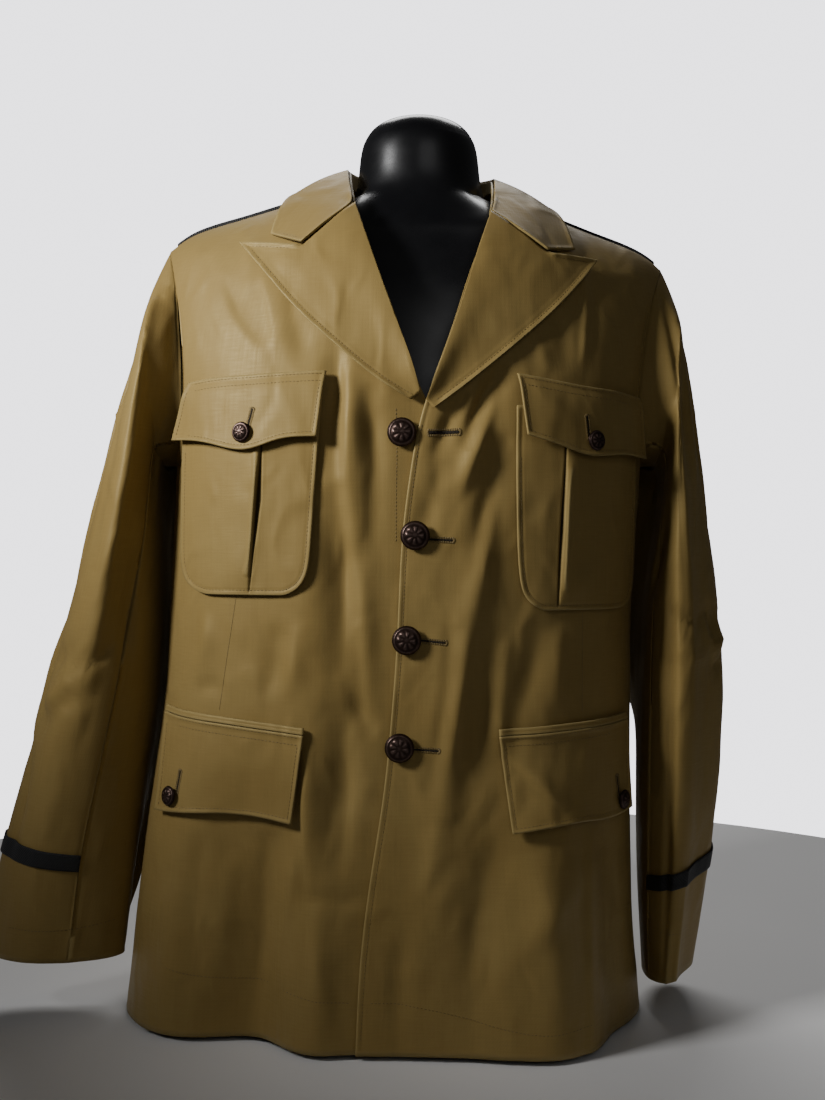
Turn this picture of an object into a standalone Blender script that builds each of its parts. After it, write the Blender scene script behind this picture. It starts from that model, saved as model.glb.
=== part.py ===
"""Four-pocket khaki service jacket, worn by a limbless dress form that stands on its flat base.

Metres, +Z up. The front of the jacket faces -Y, and the wearer's right side is at -X.
Every cloth piece is a wall with the true worn shape, open at the neck, hem and cuffs.
"""

import math
from collections import namedtuple

import bmesh
import bpy
from mathutils import Vector

for old in list(bpy.data.objects):
    bpy.data.objects.remove(old)

# Driving sizes of the cloth
CLOTH = 0.0018
SEAM = 0.0003
HEM_HEIGHT = 0.005
CHEST_HEIGHT = 0.500
TOP_MARK = 0.750
POCKET_CLOTH = 0.0014
BRAID_THICKNESS = 0.0010
BRAID_WIDTH = 0.016
BRAID_ABOVE_CUFF = 0.100

# Shape of the body above the armpit: how it widens and rounds over the shoulders
SHOULDER_WIDENING = 0.128
SHOULDER_CENTRE = -0.002
SHOULDER_TILT = 0.045
RIDGE_Y = 0.0
CHEST_FULLNESS = 2.2
BACK_FULLNESS = 3.8
SQUARENESS = 0.10
BACK_RISE = 0.0065
BACK_RISE_TILT = 0.020
BACK_RISE_REACH = 0.030

BodySection = namedtuple("BodySection", "height centre half_width front_depth back_depth")
BODY = (
    BodySection(0.000, -0.0325, 0.2400, 0.143, 0.150),
    BodySection(0.095, -0.0310, 0.2310, 0.143, 0.143),
    BodySection(0.190, -0.0260, 0.2245, 0.142, 0.136),
    BodySection(0.285, -0.0190, 0.2175, 0.141, 0.130),
    BodySection(0.380, -0.0160, 0.2150, 0.140, 0.126),
    BodySection(0.500, -0.0090, 0.2170, 0.140, 0.132),
)

# Height of the shoulder line above each distance from the middle
ShoulderPoint = namedtuple("ShoulderPoint", "reach height")
SHOULDER = (
    ShoulderPoint(0.000, 0.7660),
    ShoulderPoint(0.070, 0.7610),
    ShoulderPoint(0.108, 0.7470),
    ShoulderPoint(0.157, 0.7300),
    ShoulderPoint(0.208, 0.7125),
    ShoulderPoint(0.232, 0.6960),
    ShoulderPoint(0.260, 0.6720),
)

# Largest folds: where each runs, in degrees round the body, how wide and how far it stands out
Fold = namedtuple("Fold", "low high low_angle high_angle width depth")
FOLDS = (
    Fold(0.26, 0.46, -8.5, -9.5, 4.5, -0.006),
    Fold(0.16, 0.47, -17.0, -18.0, 5.5, 0.006),
    Fold(-0.20, 0.24, -27.0, -33.0, 11.0, -0.034),
    Fold(-0.12, 0.16, -13.5, -14.5, 4.5, 0.007),
    Fold(-0.22, 0.25, 34.0, 31.0, 15.0, 0.030),
    Fold(0.08, 0.47, 11.5, 13.0, 5.5, 0.005),
    Fold(0.02, 0.36, 21.0, 23.0, 5.0, -0.006),
    Fold(-0.20, 0.30, 150.0, 155.0, 10.0, 0.012),
    Fold(-0.20, 0.26, 178.0, 180.0, 9.0, -0.009),
    Fold(-0.20, 0.30, 212.0, 206.0, 11.0, 0.012),
    Fold(0.28, 0.52, 165.0, 160.0, 7.0, -0.005),
    Fold(0.28, 0.52, 197.0, 202.0, 7.0, -0.005),
)

# Front edges. The wearer's left front lies on top; above the last button both turn back as lapels
EdgePoint = namedtuple("EdgePoint", "height x")
LEFT_EDGE = (
    EdgePoint(0.000, -0.0530),
    EdgePoint(0.086, -0.0487),
    EdgePoint(0.152, -0.0405),
    EdgePoint(0.218, -0.0296),
    EdgePoint(0.284, -0.0230),
    EdgePoint(0.350, -0.0180),
    EdgePoint(0.417, -0.0155),
    EdgePoint(0.450, -0.0130),
    EdgePoint(0.500, -0.0056),
    EdgePoint(0.545, 0.0045),
    EdgePoint(0.605, 0.0279),
    EdgePoint(0.662, 0.0453),
    EdgePoint(0.709, 0.0660),
    EdgePoint(0.750, 0.0740),
)
RIGHT_EDGE = (
    EdgePoint(0.000, -0.0080),
    EdgePoint(0.086, -0.0040),
    EdgePoint(0.218, 0.0150),
    EdgePoint(0.350, 0.0270),
    EdgePoint(0.450, 0.0310),
    EdgePoint(0.500, 0.0300),
    EdgePoint(0.530, 0.0200),
    EdgePoint(0.552, 0.0020),
    EdgePoint(0.580, -0.0070),
    EdgePoint(0.617, -0.0200),
    EdgePoint(0.667, -0.0400),
    EdgePoint(0.714, -0.0570),
    EdgePoint(0.750, -0.0640),
)
LAP_TOP = 0.540
LAP_START = 0.034
LAP_FULL = 0.010
ROLL_RISE = 0.004
ROLL_REACH = 0.018

# Armhole, as the angle round the body at which the fronts and the back end
ArmholePoint = namedtuple("ArmholePoint", "share front_angle back_angle")
ARMHOLE = (
    ArmholePoint(0.00, 90.0, 90.0),
    ArmholePoint(0.03, 80.0, 100.0),
    ArmholePoint(0.10, 72.0, 108.0),
    ArmholePoint(0.22, 67.0, 112.0),
    ArmholePoint(0.45, 65.5, 113.0),
    ArmholePoint(0.70, 66.0, 112.5),
    ArmholePoint(1.00, 68.0, 112.0),
)
SEAM_ANGLE = 0.07
ARM_SEAM_ANGLE = 0.19
SHOULDER_SEAM = 0.0002
NECK_HALF_WIDTH = 0.069
NECK_DROP_SHARE = 0.085
LOWER_ROWS = 12
UPPER_SHARES = (0.0, 0.03, 0.10, 0.22, 0.36, 0.50, 0.64, 0.77, 0.87, 0.94, 0.985, 1.0)
FRONT_COLUMNS = 16
COLUMN_CROWDING = 1.25
BACK_COLUMNS = 16


def read_table(rows, at):
    """The row of a table at a value of its first column, on a smooth curve through the rows."""
    keys = [row[0] for row in rows]
    at = min(max(at, keys[0]), keys[-1])
    i = max(k for k in range(len(rows) - 1) if keys[k] <= at)
    gap = keys[i + 1] - keys[i]
    t = (at - keys[i]) / gap

    def slope(k, column):
        before, after = max(k - 1, 0), min(k + 1, len(rows) - 1)
        return (rows[after][column] - rows[before][column]) / (keys[after] - keys[before]) * gap

    values = []
    for column in range(len(rows[0])):
        start, end = rows[i][column], rows[i + 1][column]
        m0, m1 = slope(i, column), slope(i + 1, column)
        values.append(
            start * (2 * t**3 - 3 * t**2 + 1)
            + m0 * (t**3 - 2 * t**2 + t)
            + end * (3 * t**2 - 2 * t**3)
            + m1 * (t**3 - t**2)
        )
    return type(rows[0])(*values)


def ease(value):
    """0 below 0, 1 above 1, and a smooth step between them."""
    value = min(max(value, 0.0), 1.0)
    return value * value * (3 - 2 * value)


def mix(start, end, share):
    return start + (end - start) * share


def shoulder_height(x):
    """Height of the shoulder line at x. The jacket hangs a little lower on the wearer's left."""
    return read_table(SHOULDER, abs(x)).height - SHOULDER_TILT * x


def fold_depth(angle, height):
    """How far the cloth's folds stand out of the plain body there."""
    total = 0.0
    for fold in FOLDS:
        share = (height - fold.low) / (fold.high - fold.low)
        if not 0 < share < 1:
            continue
        centre = mix(fold.low_angle, fold.high_angle, share)
        away = (math.degrees(angle) % 360 - centre % 360 + 180) % 360 - 180
        total += fold.depth * math.sin(math.pi * share) * math.exp(-((away / fold.width) ** 2))
    return total


def body_surface(angle, height):
    """Point of the body's outer face. Angle 0 is the middle of the front, 180 that of the back."""
    sin, cos = math.sin(angle), math.cos(angle)
    section = read_table(BODY, min(height, CHEST_HEIGHT))
    depth = section.front_depth if cos > 0 else section.back_depth
    share = max(0.0, (height - CHEST_HEIGHT) / (TOP_MARK - CHEST_HEIGHT))
    fold = fold_depth(angle, height)
    side = (section.half_width + fold) * sin * (1 + SQUARENESS * cos**2)
    y = -(depth + fold) * cos * (1 + SQUARENESS * sin**2)
    x = mix(section.centre, SHOULDER_CENTRE, share) + side * (1 + SHOULDER_WIDENING * share**2)
    if share == 0.0:
        return Vector((x, y, height))
    fullness = CHEST_FULLNESS if cos > 0 else BACK_FULLNESS
    y = RIDGE_Y + (y - RIDGE_Y) * math.sqrt(max(0.0, 1 - min(share, 1.0) ** fullness))
    z = CHEST_HEIGHT + share * (shoulder_height(x) - CHEST_HEIGHT)
    behind = max(0.0, (y - RIDGE_Y) / BACK_RISE_REACH)
    rise = BACK_RISE + BACK_RISE_TILT * max(min(x, 0.13), -0.13)
    z += rise * behind * math.exp(1 - behind) * ease(share / 0.5)
    return Vector((x, y, z))


def body_point(angle, height, lift=0.0):
    """Point on the body's outer face, moved out along its normal."""
    point = body_surface(angle, height)
    if lift == 0.0:
        return point
    step_angle = 0.02
    step_height = min(0.004, max(0.0001, (TOP_MARK - height) / 2))
    along = body_surface(angle + step_angle, height) - body_surface(angle - step_angle, height)
    top = min(height + step_height, TOP_MARK)
    up = body_surface(angle, top) - body_surface(angle, top - 2 * step_height)
    return point + along.cross(up).normalized() * lift


def angle_at(x, height):
    """Angle at which the front reaches x at that height."""
    low, high = math.radians(-75), math.radians(75)
    for _ in range(30):
        middle = (low + high) / 2
        if body_surface(middle, height).x < x:
            low = middle
        else:
            high = middle
    return (low + high) / 2


def height_mark(x, z):
    """The height value that body_surface takes for a point of the front at x and z."""
    if z <= CHEST_HEIGHT:
        return z
    share = (z - CHEST_HEIGHT) / (shoulder_height(x) - CHEST_HEIGHT)
    return CHEST_HEIGHT + share * (TOP_MARK - CHEST_HEIGHT)


def on_front(x, z, lift=0.0):
    """Point of the front at x and z, as seen from straight ahead, moved out by lift."""
    mark = height_mark(x, z)
    return body_point(angle_at(x, mark), mark, lift)


# Meshes and materials
def material(name, colour, roughness, metallic=0.0):
    made = bpy.data.materials.new(name)
    made.use_nodes = True
    shader = made.node_tree.nodes["Principled BSDF"]
    shader.inputs["Base Color"].default_value = (*colour, 1.0)
    shader.inputs["Roughness"].default_value = roughness
    shader.inputs["Metallic"].default_value = metallic
    return made


KHAKI = material("khaki_twill", (0.30, 0.22, 0.095), 0.75)
BLACK_BRAID = material("black_braid", (0.008, 0.008, 0.010), 0.85)
BRONZE = material("brown_bronze", (0.065, 0.040, 0.030), 0.40, 0.7)
GLOSS_BLACK = material("gloss_black_shell", (0.006, 0.006, 0.008), 0.18)


def add_object(name, mesh, finish):
    mesh.materials.append(finish)
    made = bpy.data.objects.new(name, mesh)
    bpy.context.scene.collection.objects.link(made)
    return made


def two_skins(name, outer, inner, finish):
    """A wall between an outer and an inner grid of points. Outwards is along a row cross up a column."""
    rows, columns = len(outer), len(outer[0])
    points = [p for row in outer for p in row] + [p for row in inner for p in row]

    def outside(i, j):
        return i * columns + j

    def inside(i, j):
        return rows * columns + i * columns + j

    faces = []
    for i in range(rows - 1):
        for j in range(columns - 1):
            faces.append((outside(i, j), outside(i, j + 1), outside(i + 1, j + 1), outside(i + 1, j)))
            faces.append((inside(i, j), inside(i + 1, j), inside(i + 1, j + 1), inside(i, j + 1)))
    for j in range(columns - 1):
        faces.append((inside(0, j), inside(0, j + 1), outside(0, j + 1), outside(0, j)))
        last = rows - 1
        faces.append((outside(last, j), outside(last, j + 1), inside(last, j + 1), inside(last, j)))
    for i in range(rows - 1):
        faces.append((outside(i, 0), outside(i + 1, 0), inside(i + 1, 0), inside(i, 0)))
        last = columns - 1
        faces.append((inside(i, last), inside(i + 1, last), outside(i + 1, last), outside(i, last)))
    mesh = bpy.data.meshes.new(name)
    mesh.from_pydata([tuple(p) for p in points], [], faces)
    mesh.validate()
    made = add_object(name, mesh, finish)
    mesh.shade_smooth()
    mesh.set_sharp_from_angle(angle=math.radians(50))
    return made


def inner_skin(outer, thickness):
    """The grid a wall's thickness inside another."""
    rows, columns = len(outer), len(outer[0])
    inner = []
    for i in range(rows):
        inner.append([])
        for j in range(columns):
            across = outer[i][min(j + 1, columns - 1)] - outer[i][max(j - 1, 0)]
            up = outer[min(i + 1, rows - 1)][j] - outer[max(i - 1, 0)][j]
            inner[i].append(outer[i][j] - across.cross(up).normalized() * thickness)
    return inner


def cloth_wall(name, outer, finish=KHAKI, thickness=CLOTH):
    return two_skins(name, outer, inner_skin(outer, thickness), finish)


# Fronts and back
def lower_heights():
    return [mix(HEM_HEIGHT, CHEST_HEIGHT, k / LOWER_ROWS) for k in range(LOWER_ROWS)]


def upper_mark(share):
    return CHEST_HEIGHT + share * (TOP_MARK - CHEST_HEIGHT)


def roll_lift(x, edge_x, height):
    """Near its roll line the front stands out a little, under the lapel."""
    away = abs(x - edge_x) / ROLL_REACH
    return ROLL_RISE * ease((height - 0.55) / 0.04) * math.exp(-away * away)


def lap_drop(x, height):
    """The wearer's right front passes under the left one by a wall and a gap."""
    past = x - (read_table(LEFT_EDGE, height).x - LAP_START)
    fade = ease((LAP_TOP + 0.03 - height) / 0.03)
    return -(CLOTH + 4 * SEAM) * ease(past / (LAP_START - LAP_FULL)) * fade


def front_panel(name, side):
    """Side is -1 for the wearer's right front and 1 for the left one."""
    edge = RIGHT_EDGE if side < 0 else LEFT_EDGE
    outer, inner = [], []
    marks = lower_heights() + [upper_mark(share) for share in UPPER_SHARES]
    for mark in marks:
        share = (mark - CHEST_HEIGHT) / (TOP_MARK - CHEST_HEIGHT)
        arm = read_table(ARMHOLE, share).front_angle if share > 0 else 90.0
        arm = side * math.radians(arm - SEAM_ANGLE)
        edge_x = read_table(edge, mark).x
        middle = angle_at(edge_x, mark)
        outer_row, inner_row = [], []
        for j in range(FRONT_COLUMNS + 1):
            angle = mix(middle, arm, (j / FRONT_COLUMNS) ** COLUMN_CROWDING)
            x = body_surface(angle, mark).x
            lift = roll_lift(x, edge_x, mark)
            if side < 0:
                lift += lap_drop(x, mark)
            back_off = Vector((0, SHOULDER_SEAM if share == 1.0 else 0.0, 0))
            outer_row.append(body_point(angle, mark, lift) - back_off)
            inner_row.append(body_point(angle, mark, lift - CLOTH) - back_off)
        outer.append(outer_row if side > 0 else outer_row[::-1])
        inner.append(inner_row if side > 0 else inner_row[::-1])
    return two_skins(name, outer, inner, KHAKI)


def neck_share(x):
    """How far up the back panel reaches: to the shoulder seam, or to the neckline between."""
    reach = abs(x) / NECK_HALF_WIDTH
    if reach >= 1:
        return 1.0
    return 1 - NECK_DROP_SHARE * math.sqrt(1 - reach**2)


def back_panel():
    outer, inner = [], []
    marks = lower_heights() + [upper_mark(share) for share in UPPER_SHARES]
    for mark in marks:
        share = (mark - CHEST_HEIGHT) / (TOP_MARK - CHEST_HEIGHT)
        arm = read_table(ARMHOLE, share).back_angle if share > 0 else 90.0
        arm = math.radians(arm + SEAM_ANGLE)
        outer_row, inner_row = [], []
        for j in range(BACK_COLUMNS + 1):
            angle = mix(arm, 2 * math.pi - arm, j / BACK_COLUMNS)
            height = mark
            if share > 0:
                height = upper_mark(share * neck_share(body_surface(angle, mark).x))
            back_off = Vector((0, SHOULDER_SEAM if height > TOP_MARK - 1e-6 else 0.0, 0))
            outer_row.append(body_point(angle, height) + back_off)
            inner_row.append(body_point(angle, height, -CLOTH) + back_off)
        outer.append(outer_row)
        inner.append(inner_row)
    return two_skins("back", outer, inner, KHAKI)


front_right = front_panel("front_right", -1)
front_left = front_panel("front_left", 1)
back = back_panel()

# Sleeves: each ring by its outer and inner point seen from the front, and its depth
SleeveRing = namedtuple("SleeveRing", "station outer_x outer_z inner_x inner_z centre_y half_depth")
RIGHT_SLEEVE = (
    SleeveRing(1, 0.2460, 0.6700, 0.2360, 0.5020, -0.002, 0.068),
    SleeveRing(2, 0.2528, 0.6420, 0.2385, 0.4860, -0.002, 0.075),
    SleeveRing(3, 0.2700, 0.5750, 0.2370, 0.4450, -0.002, 0.079),
    SleeveRing(4, 0.2905, 0.5000, 0.2360, 0.3950, -0.003, 0.079),
    SleeveRing(5, 0.3093, 0.4340, 0.2365, 0.3550, -0.004, 0.076),
    SleeveRing(6, 0.3357, 0.3420, 0.2405, 0.2940, -0.006, 0.067),
    SleeveRing(7, 0.3565, 0.2690, 0.2480, 0.2340, -0.010, 0.057),
    SleeveRing(8, 0.3753, 0.1960, 0.2570, 0.1720, -0.015, 0.048),
    SleeveRing(9, 0.3890, 0.1310, 0.2635, 0.1150, -0.020, 0.040),
    SleeveRing(10, 0.4000, 0.0570, 0.2700, 0.0530, -0.024, 0.034),
)
LEFT_SLEEVE = (
    SleeveRing(1, 0.2400, 0.6520, 0.2190, 0.5020, 0.000, 0.068),
    SleeveRing(2, 0.2423, 0.6300, 0.2250, 0.4860, 0.000, 0.075),
    SleeveRing(3, 0.2518, 0.5665, 0.2210, 0.4450, 0.001, 0.080),
    SleeveRing(4, 0.2659, 0.4910, 0.2140, 0.4000, 0.002, 0.082),
    SleeveRing(5, 0.2760, 0.4156, 0.2090, 0.3520, 0.002, 0.081),
    SleeveRing(6, 0.2825, 0.3400, 0.2070, 0.2920, 0.002, 0.077),
    SleeveRing(7, 0.2850, 0.2860, 0.2055, 0.2440, 0.003, 0.074),
    SleeveRing(8, 0.2835, 0.2150, 0.2055, 0.1820, 0.004, 0.069),
    SleeveRing(9, 0.2750, 0.1340, 0.2070, 0.1140, 0.005, 0.063),
    SleeveRing(10, 0.2600, 0.0400, 0.2115, 0.0300, 0.006, 0.057),
)
# Long creases of a sleeve: degrees round it, 0 outwards and 90 to the front
Crease = namedtuple("Crease", "low high angle width depth")
RIGHT_CREASES = (
    Crease(3.0, 12.0, 78.0, 22.0, 0.008),
    Crease(1.0, 7.0, 128.0, 16.0, -0.007),
    Crease(4.0, 9.0, 15.0, 25.0, -0.005),
    Crease(2.0, 11.0, -110.0, 22.0, 0.006),
)
LEFT_CREASES = (
    Crease(0.3, 12.5, 52.0, 15.0, -0.011),
    Crease(2.0, 12.0, 95.0, 20.0, 0.006),
    Crease(2.0, 12.0, -60.0, 22.0, 0.005),
    Crease(4.0, 9.0, 10.0, 24.0, 0.004),
)
LEFT_SWEEP = 0.008
SLEEVE_STATIONS = (0.0, 0.45, 1.0, 1.5, 2.0, 3.0, 4.0, 5.0, 6.0, 7.0, 8.0)
FRONT_SEAM_COLUMN = 2
RIGHT_CUFF_SEAM = 108.0
LEFT_CUFF_SEAM = 140.0
BACK_SEAM_COLUMN = 5
SLEEVE_SEAM = 0.0003
HEAD_SEAM = 0.0013


def armhole_loop(side, lift):
    """The sleeve's top edge, from the armpit up the front, over the shoulder and down the back.

    It has the fronts' and the back's own row heights, so their edges run side by side.
    """
    loop = [body_point(side * math.pi / 2, CHEST_HEIGHT, lift) + Vector((side * SEAM, 0, 2 * SEAM))]
    for share in UPPER_SHARES[1:]:
        angle = side * math.radians(read_table(ARMHOLE, share).front_angle + ARM_SEAM_ANGLE)
        loop.append(body_point(angle, upper_mark(share), lift))
    for share in UPPER_SHARES[-2:0:-1]:
        angle = side * math.radians(read_table(ARMHOLE, share).back_angle - ARM_SEAM_ANGLE)
        loop.append(body_point(angle, upper_mark(share), lift))
    return loop


def loop_turns(loop):
    """Angle of each armhole point round the sleeve: 180 at the armpit, 0 on the shoulder."""
    top = len(UPPER_SHARES) - 1
    count = len(loop)
    turns = []
    for k in range(count):
        if k <= top:
            done = sum((loop[i + 1] - loop[i]).length for i in range(k))
            whole = sum((loop[i + 1] - loop[i]).length for i in range(top))
            turns.append(180 - 180 * done / whole)
        else:
            done = sum((loop[(i + 1) % count] - loop[i]).length for i in range(top, k))
            whole = sum((loop[(i + 1) % count] - loop[i]).length for i in range(top, count))
            turns.append(-180 * done / whole)
    return turns


class Sleeve:
    """One sleeve as rings of points from the armhole to the cuff."""

    def __init__(self, side):
        self.side = side
        self.rings = RIGHT_SLEEVE if side < 0 else LEFT_SLEEVE
        self.creases = RIGHT_CREASES if side < 0 else LEFT_CREASES
        self.sweep = 0.0 if side < 0 else LEFT_SWEEP
        self.loop = armhole_loop(side, 0.0)
        self.inner_loop = armhole_loop(side, -CLOTH)
        self.turns = loop_turns(self.loop)
        self.cuff_seam = RIGHT_CUFF_SEAM if side < 0 else LEFT_CUFF_SEAM

    def seam_turn(self, turn, station):
        """The front seam creeps towards the front on its way down to the cuff."""
        seam = self.turns[FRONT_SEAM_COLUMN]
        if turn <= 0:
            return turn
        lower = mix(seam, self.cuff_seam, ease(station / 9))
        if turn < seam:
            return turn * lower / seam
        return lower + (turn - seam) * (180 - lower) / (180 - seam)

    def crease_depth(self, turn, station):
        total = 0.0
        for crease in self.creases:
            share = (station - crease.low) / (crease.high - crease.low)
            if 0 < share < 1:
                away = (turn - crease.angle + 180) % 360 - 180
                across = math.exp(-((away / crease.width) ** 2))
                total += crease.depth * math.sin(math.pi * share) * across
        return total

    def ring_point(self, turn, station):
        ring = read_table(self.rings, station)
        outer = Vector((self.side * ring.outer_x, 0, ring.outer_z))
        inner = Vector((self.side * ring.inner_x, 0, ring.inner_z))
        swell = self.crease_depth(turn, station)
        half = (outer - inner) / 2
        half += half.normalized() * swell
        sin, cos = math.sin(math.radians(turn)), math.cos(math.radians(turn))
        point = (outer + inner) / 2 + half * cos
        point.y = ring.centre_y - (ring.half_depth + swell) * sin
        point.x -= self.side * self.sweep * sin * ease((station - 1) / 3)
        return point

    def point(self, column, station):
        """Point of a column of the sleeve, from its armhole point through the rings."""
        turn = self.turns[column % len(self.turns)]
        start = self.loop[column % len(self.loop)]
        if station >= 1:
            return self.ring_point(self.seam_turn(turn, station), station)
        first = self.ring_point(self.seam_turn(turn, 1.0), 1.0)
        second = self.ring_point(self.seam_turn(turn, 1.5), 1.5)
        leave = (first - start) * 1.1 + Vector((self.side * 0.012, 0, 0))
        arrive = (second - first) * 1.2
        t = station
        return (
            start * (2 * t**3 - 3 * t**2 + 1)
            + leave * (t**3 - 2 * t**2 + t)
            + first * (3 * t**2 - 2 * t**3)
            + arrive * (t**3 - t**2)
        )

    def skins(self, columns, stations, outer_lift=0.0, inner_lift=-CLOTH):
        """Outer and inner grid, in rows from the cuff up, so that the normals point outwards."""
        count = len(self.loop)
        whole = [[self.point(k, station) for k in range(count)] for station in stations]
        skins = []
        for lift in (outer_lift, inner_lift):
            grid = []
            for i in reversed(range(len(stations))):
                row = []
                for column in columns:
                    k = column % count
                    if stations[i] == 0.0:
                        row.append(self.loop[k] if lift == 0.0 else self.inner_loop[k])
                        continue
                    around = whole[i][(k + 1) % count] - whole[i][k - 1]
                    along = whole[max(i - 1, 0)][k] - whole[min(i + 1, len(stations) - 1)][k]
                    normal = around.cross(along).normalized() * self.side
                    row.append(whole[i][k] + normal * lift)
                gap = HEAD_SEAM if stations[i] < 2 else SLEEVE_SEAM
                row[0] = row[0] + (row[1] - row[0]).normalized() * gap
                row[-1] = row[-1] + (row[-2] - row[-1]).normalized() * gap
                grid.append(row if self.side > 0 else row[::-1])
            skins.append(grid)
        return skins


def braid_stations(sleeve):
    """Stations of the lower and upper edge of the braid, from its height above the cuff."""
    cuff = sleeve.rings[-1].outer_z
    found = []
    for above in (BRAID_ABOVE_CUFF + BRAID_WIDTH / 2, BRAID_ABOVE_CUFF - BRAID_WIDTH / 2):
        low, high = 7.0, 10.0
        for _ in range(30):
            middle = (low + high) / 2
            if read_table(sleeve.rings, middle).outer_z > cuff + above:
                low = middle
            else:
                high = middle
        found.append((low + high) / 2)
    return found


def make_sleeve(side, label):
    sleeve = Sleeve(side)
    count = len(sleeve.loop)
    upper_edge, lower_edge = braid_stations(sleeve)
    stations = [*SLEEVE_STATIONS, upper_edge, lower_edge, 9.4, 10.0]
    top_columns = list(range(FRONT_SEAM_COLUMN, count - BACK_SEAM_COLUMN + 1))
    under_columns = list(range(count - BACK_SEAM_COLUMN, count + FRONT_SEAM_COLUMN + 1))
    two_skins(f"top_sleeve_{label}", *sleeve.skins(top_columns, stations), KHAKI)
    two_skins(f"under_sleeve_{label}", *sleeve.skins(under_columns, stations), KHAKI)
    outer, inner = sleeve.skins(top_columns, stations, SEAM + BRAID_THICKNESS, SEAM)
    last = len(stations) - 1
    low, high = last - stations.index(lower_edge), last - stations.index(upper_edge)
    two_skins(f"cuff_braid_{label}", outer[low : high + 1], inner[low : high + 1], BLACK_BRAID)


make_sleeve(-1, "right")
make_sleeve(1, "left")

# Lapels: the roll line and the outline of each, as seen from the front
LapelRow = namedtuple("LapelRow", "share roll_x roll_z edge_x edge_z")
RIGHT_LAPEL = (
    LapelRow(0.00, 0.0010, 0.5560, -0.0060, 0.5500),
    LapelRow(0.12, -0.0040, 0.5760, -0.0330, 0.5660),
    LapelRow(0.30, -0.0140, 0.6040, -0.0700, 0.5980),
    LapelRow(0.55, -0.0290, 0.6460, -0.1050, 0.6320),
    LapelRow(0.80, -0.0430, 0.6880, -0.1370, 0.6720),
    LapelRow(1.00, -0.0545, 0.7240, -0.1560, 0.6960),
)
LEFT_LAPEL = (
    LapelRow(0.00, 0.0060, 0.5500, 0.0120, 0.5430),
    LapelRow(0.12, 0.0140, 0.5700, 0.0340, 0.5590),
    LapelRow(0.30, 0.0240, 0.5980, 0.0690, 0.5880),
    LapelRow(0.55, 0.0380, 0.6400, 0.1090, 0.6240),
    LapelRow(0.80, 0.0510, 0.6830, 0.1400, 0.6580),
    LapelRow(1.00, 0.0620, 0.7160, 0.1560, 0.6800),
)
LAPEL_STEP = 0.10
LAPEL_ACROSS = (0.0, 0.08, 0.2, 0.34, 0.47, 0.6, 0.75, 0.88, 1.0)
LAPEL_GORGE_SHARE = 0.47
LAPEL_ROLL = 0.0065
LAPEL_REST = 0.0014
RIGHT_NOTCH = (-0.0980, 0.6845)
LEFT_NOTCH = (0.1090, 0.6790)


def lapel_lift(across, up):
    """The lapel rolls off the front along its fold and lies down towards its edge."""
    roll = LAPEL_ROLL * math.exp(-(across / 0.30) ** 2) * ease(up / 0.15 + 0.3)
    belly = 0.004 * math.sin(math.pi * across) * up
    return LAPEL_REST + roll + belly


def lapel(name, rows, notch, side):
    """A sheet from the roll line to the outer edge.

    Its top row runs down the gorge to the notch, then to the peak.
    """
    outer, inner = [], []
    count = round(1 / LAPEL_STEP)
    for i in range(count + 1):
        up = i / count
        place = read_table(rows, up)
        top = rows[-1]
        outer_row, inner_row = [], []
        for across in LAPEL_ACROSS:
            x = mix(place.roll_x, place.edge_x, across)
            z = mix(place.roll_z, place.edge_z, across)
            if across <= LAPEL_GORGE_SHARE:
                down = across / LAPEL_GORGE_SHARE
                gorge_x, gorge_z = mix(top.roll_x, notch[0], down), mix(top.roll_z, notch[1], down)
            else:
                down = (across - LAPEL_GORGE_SHARE) / (1 - LAPEL_GORGE_SHARE)
                gorge_x, gorge_z = mix(notch[0], top.edge_x, down), mix(notch[1], top.edge_z, down)
            bent = ease((up - 0.55) / 0.45)
            straight_x = mix(top.roll_x, top.edge_x, across)
            straight_z = mix(top.roll_z, top.edge_z, across)
            x += (gorge_x - straight_x) * bent
            z += (gorge_z - straight_z) * bent
            lift = lapel_lift(across, up)
            inner_row.append(on_front(x, z, lift))
            outer_row.append(on_front(x, z, lift + CLOTH))
        outer.append(outer_row if side > 0 else outer_row[::-1])
        inner.append(inner_row if side > 0 else inner_row[::-1])
    return two_skins(name, outer, inner, KHAKI)


lapel_right = lapel("lapel_right", RIGHT_LAPEL, RIGHT_NOTCH, -1)
lapel_left = lapel("lapel_left", LEFT_LAPEL, LEFT_NOTCH, 1)

# Collar: fold line in space, outer edge as seen from the top, neck seam in space
CollarPoint = namedtuple("CollarPoint", "share fold_x fold_y fold_z edge_x edge_y rise")
COLLAR = (
    CollarPoint(-1.00, -0.0560, -0.0820, 0.7290, -0.1290, -0.0720, 0.0035),
    CollarPoint(-0.85, -0.0610, -0.0560, 0.7520, -0.1230, -0.0480, 0.0040),
    CollarPoint(-0.68, -0.0645, -0.0200, 0.7760, -0.1130, -0.0150, 0.0050),
    CollarPoint(-0.50, -0.0640, 0.0200, 0.7850, -0.1030, 0.0260, 0.0050),
    CollarPoint(-0.30, -0.0470, 0.0590, 0.7900, -0.0800, 0.0760, 0.0050),
    CollarPoint(0.00, 0.0020, 0.0810, 0.7920, 0.0020, 0.1050, 0.0050),
    CollarPoint(0.30, 0.0510, 0.0590, 0.7870, 0.0840, 0.0760, 0.0050),
    CollarPoint(0.50, 0.0690, 0.0200, 0.7780, 0.1080, 0.0260, 0.0050),
    CollarPoint(0.68, 0.0700, -0.0200, 0.7670, 0.1200, -0.0150, 0.0050),
    CollarPoint(0.85, 0.0680, -0.0560, 0.7430, 0.1310, -0.0480, 0.0040),
    CollarPoint(1.00, 0.0635, -0.0820, 0.7210, 0.1370, -0.0700, 0.0035),
)
COLLAR_COLUMNS = 26
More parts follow.
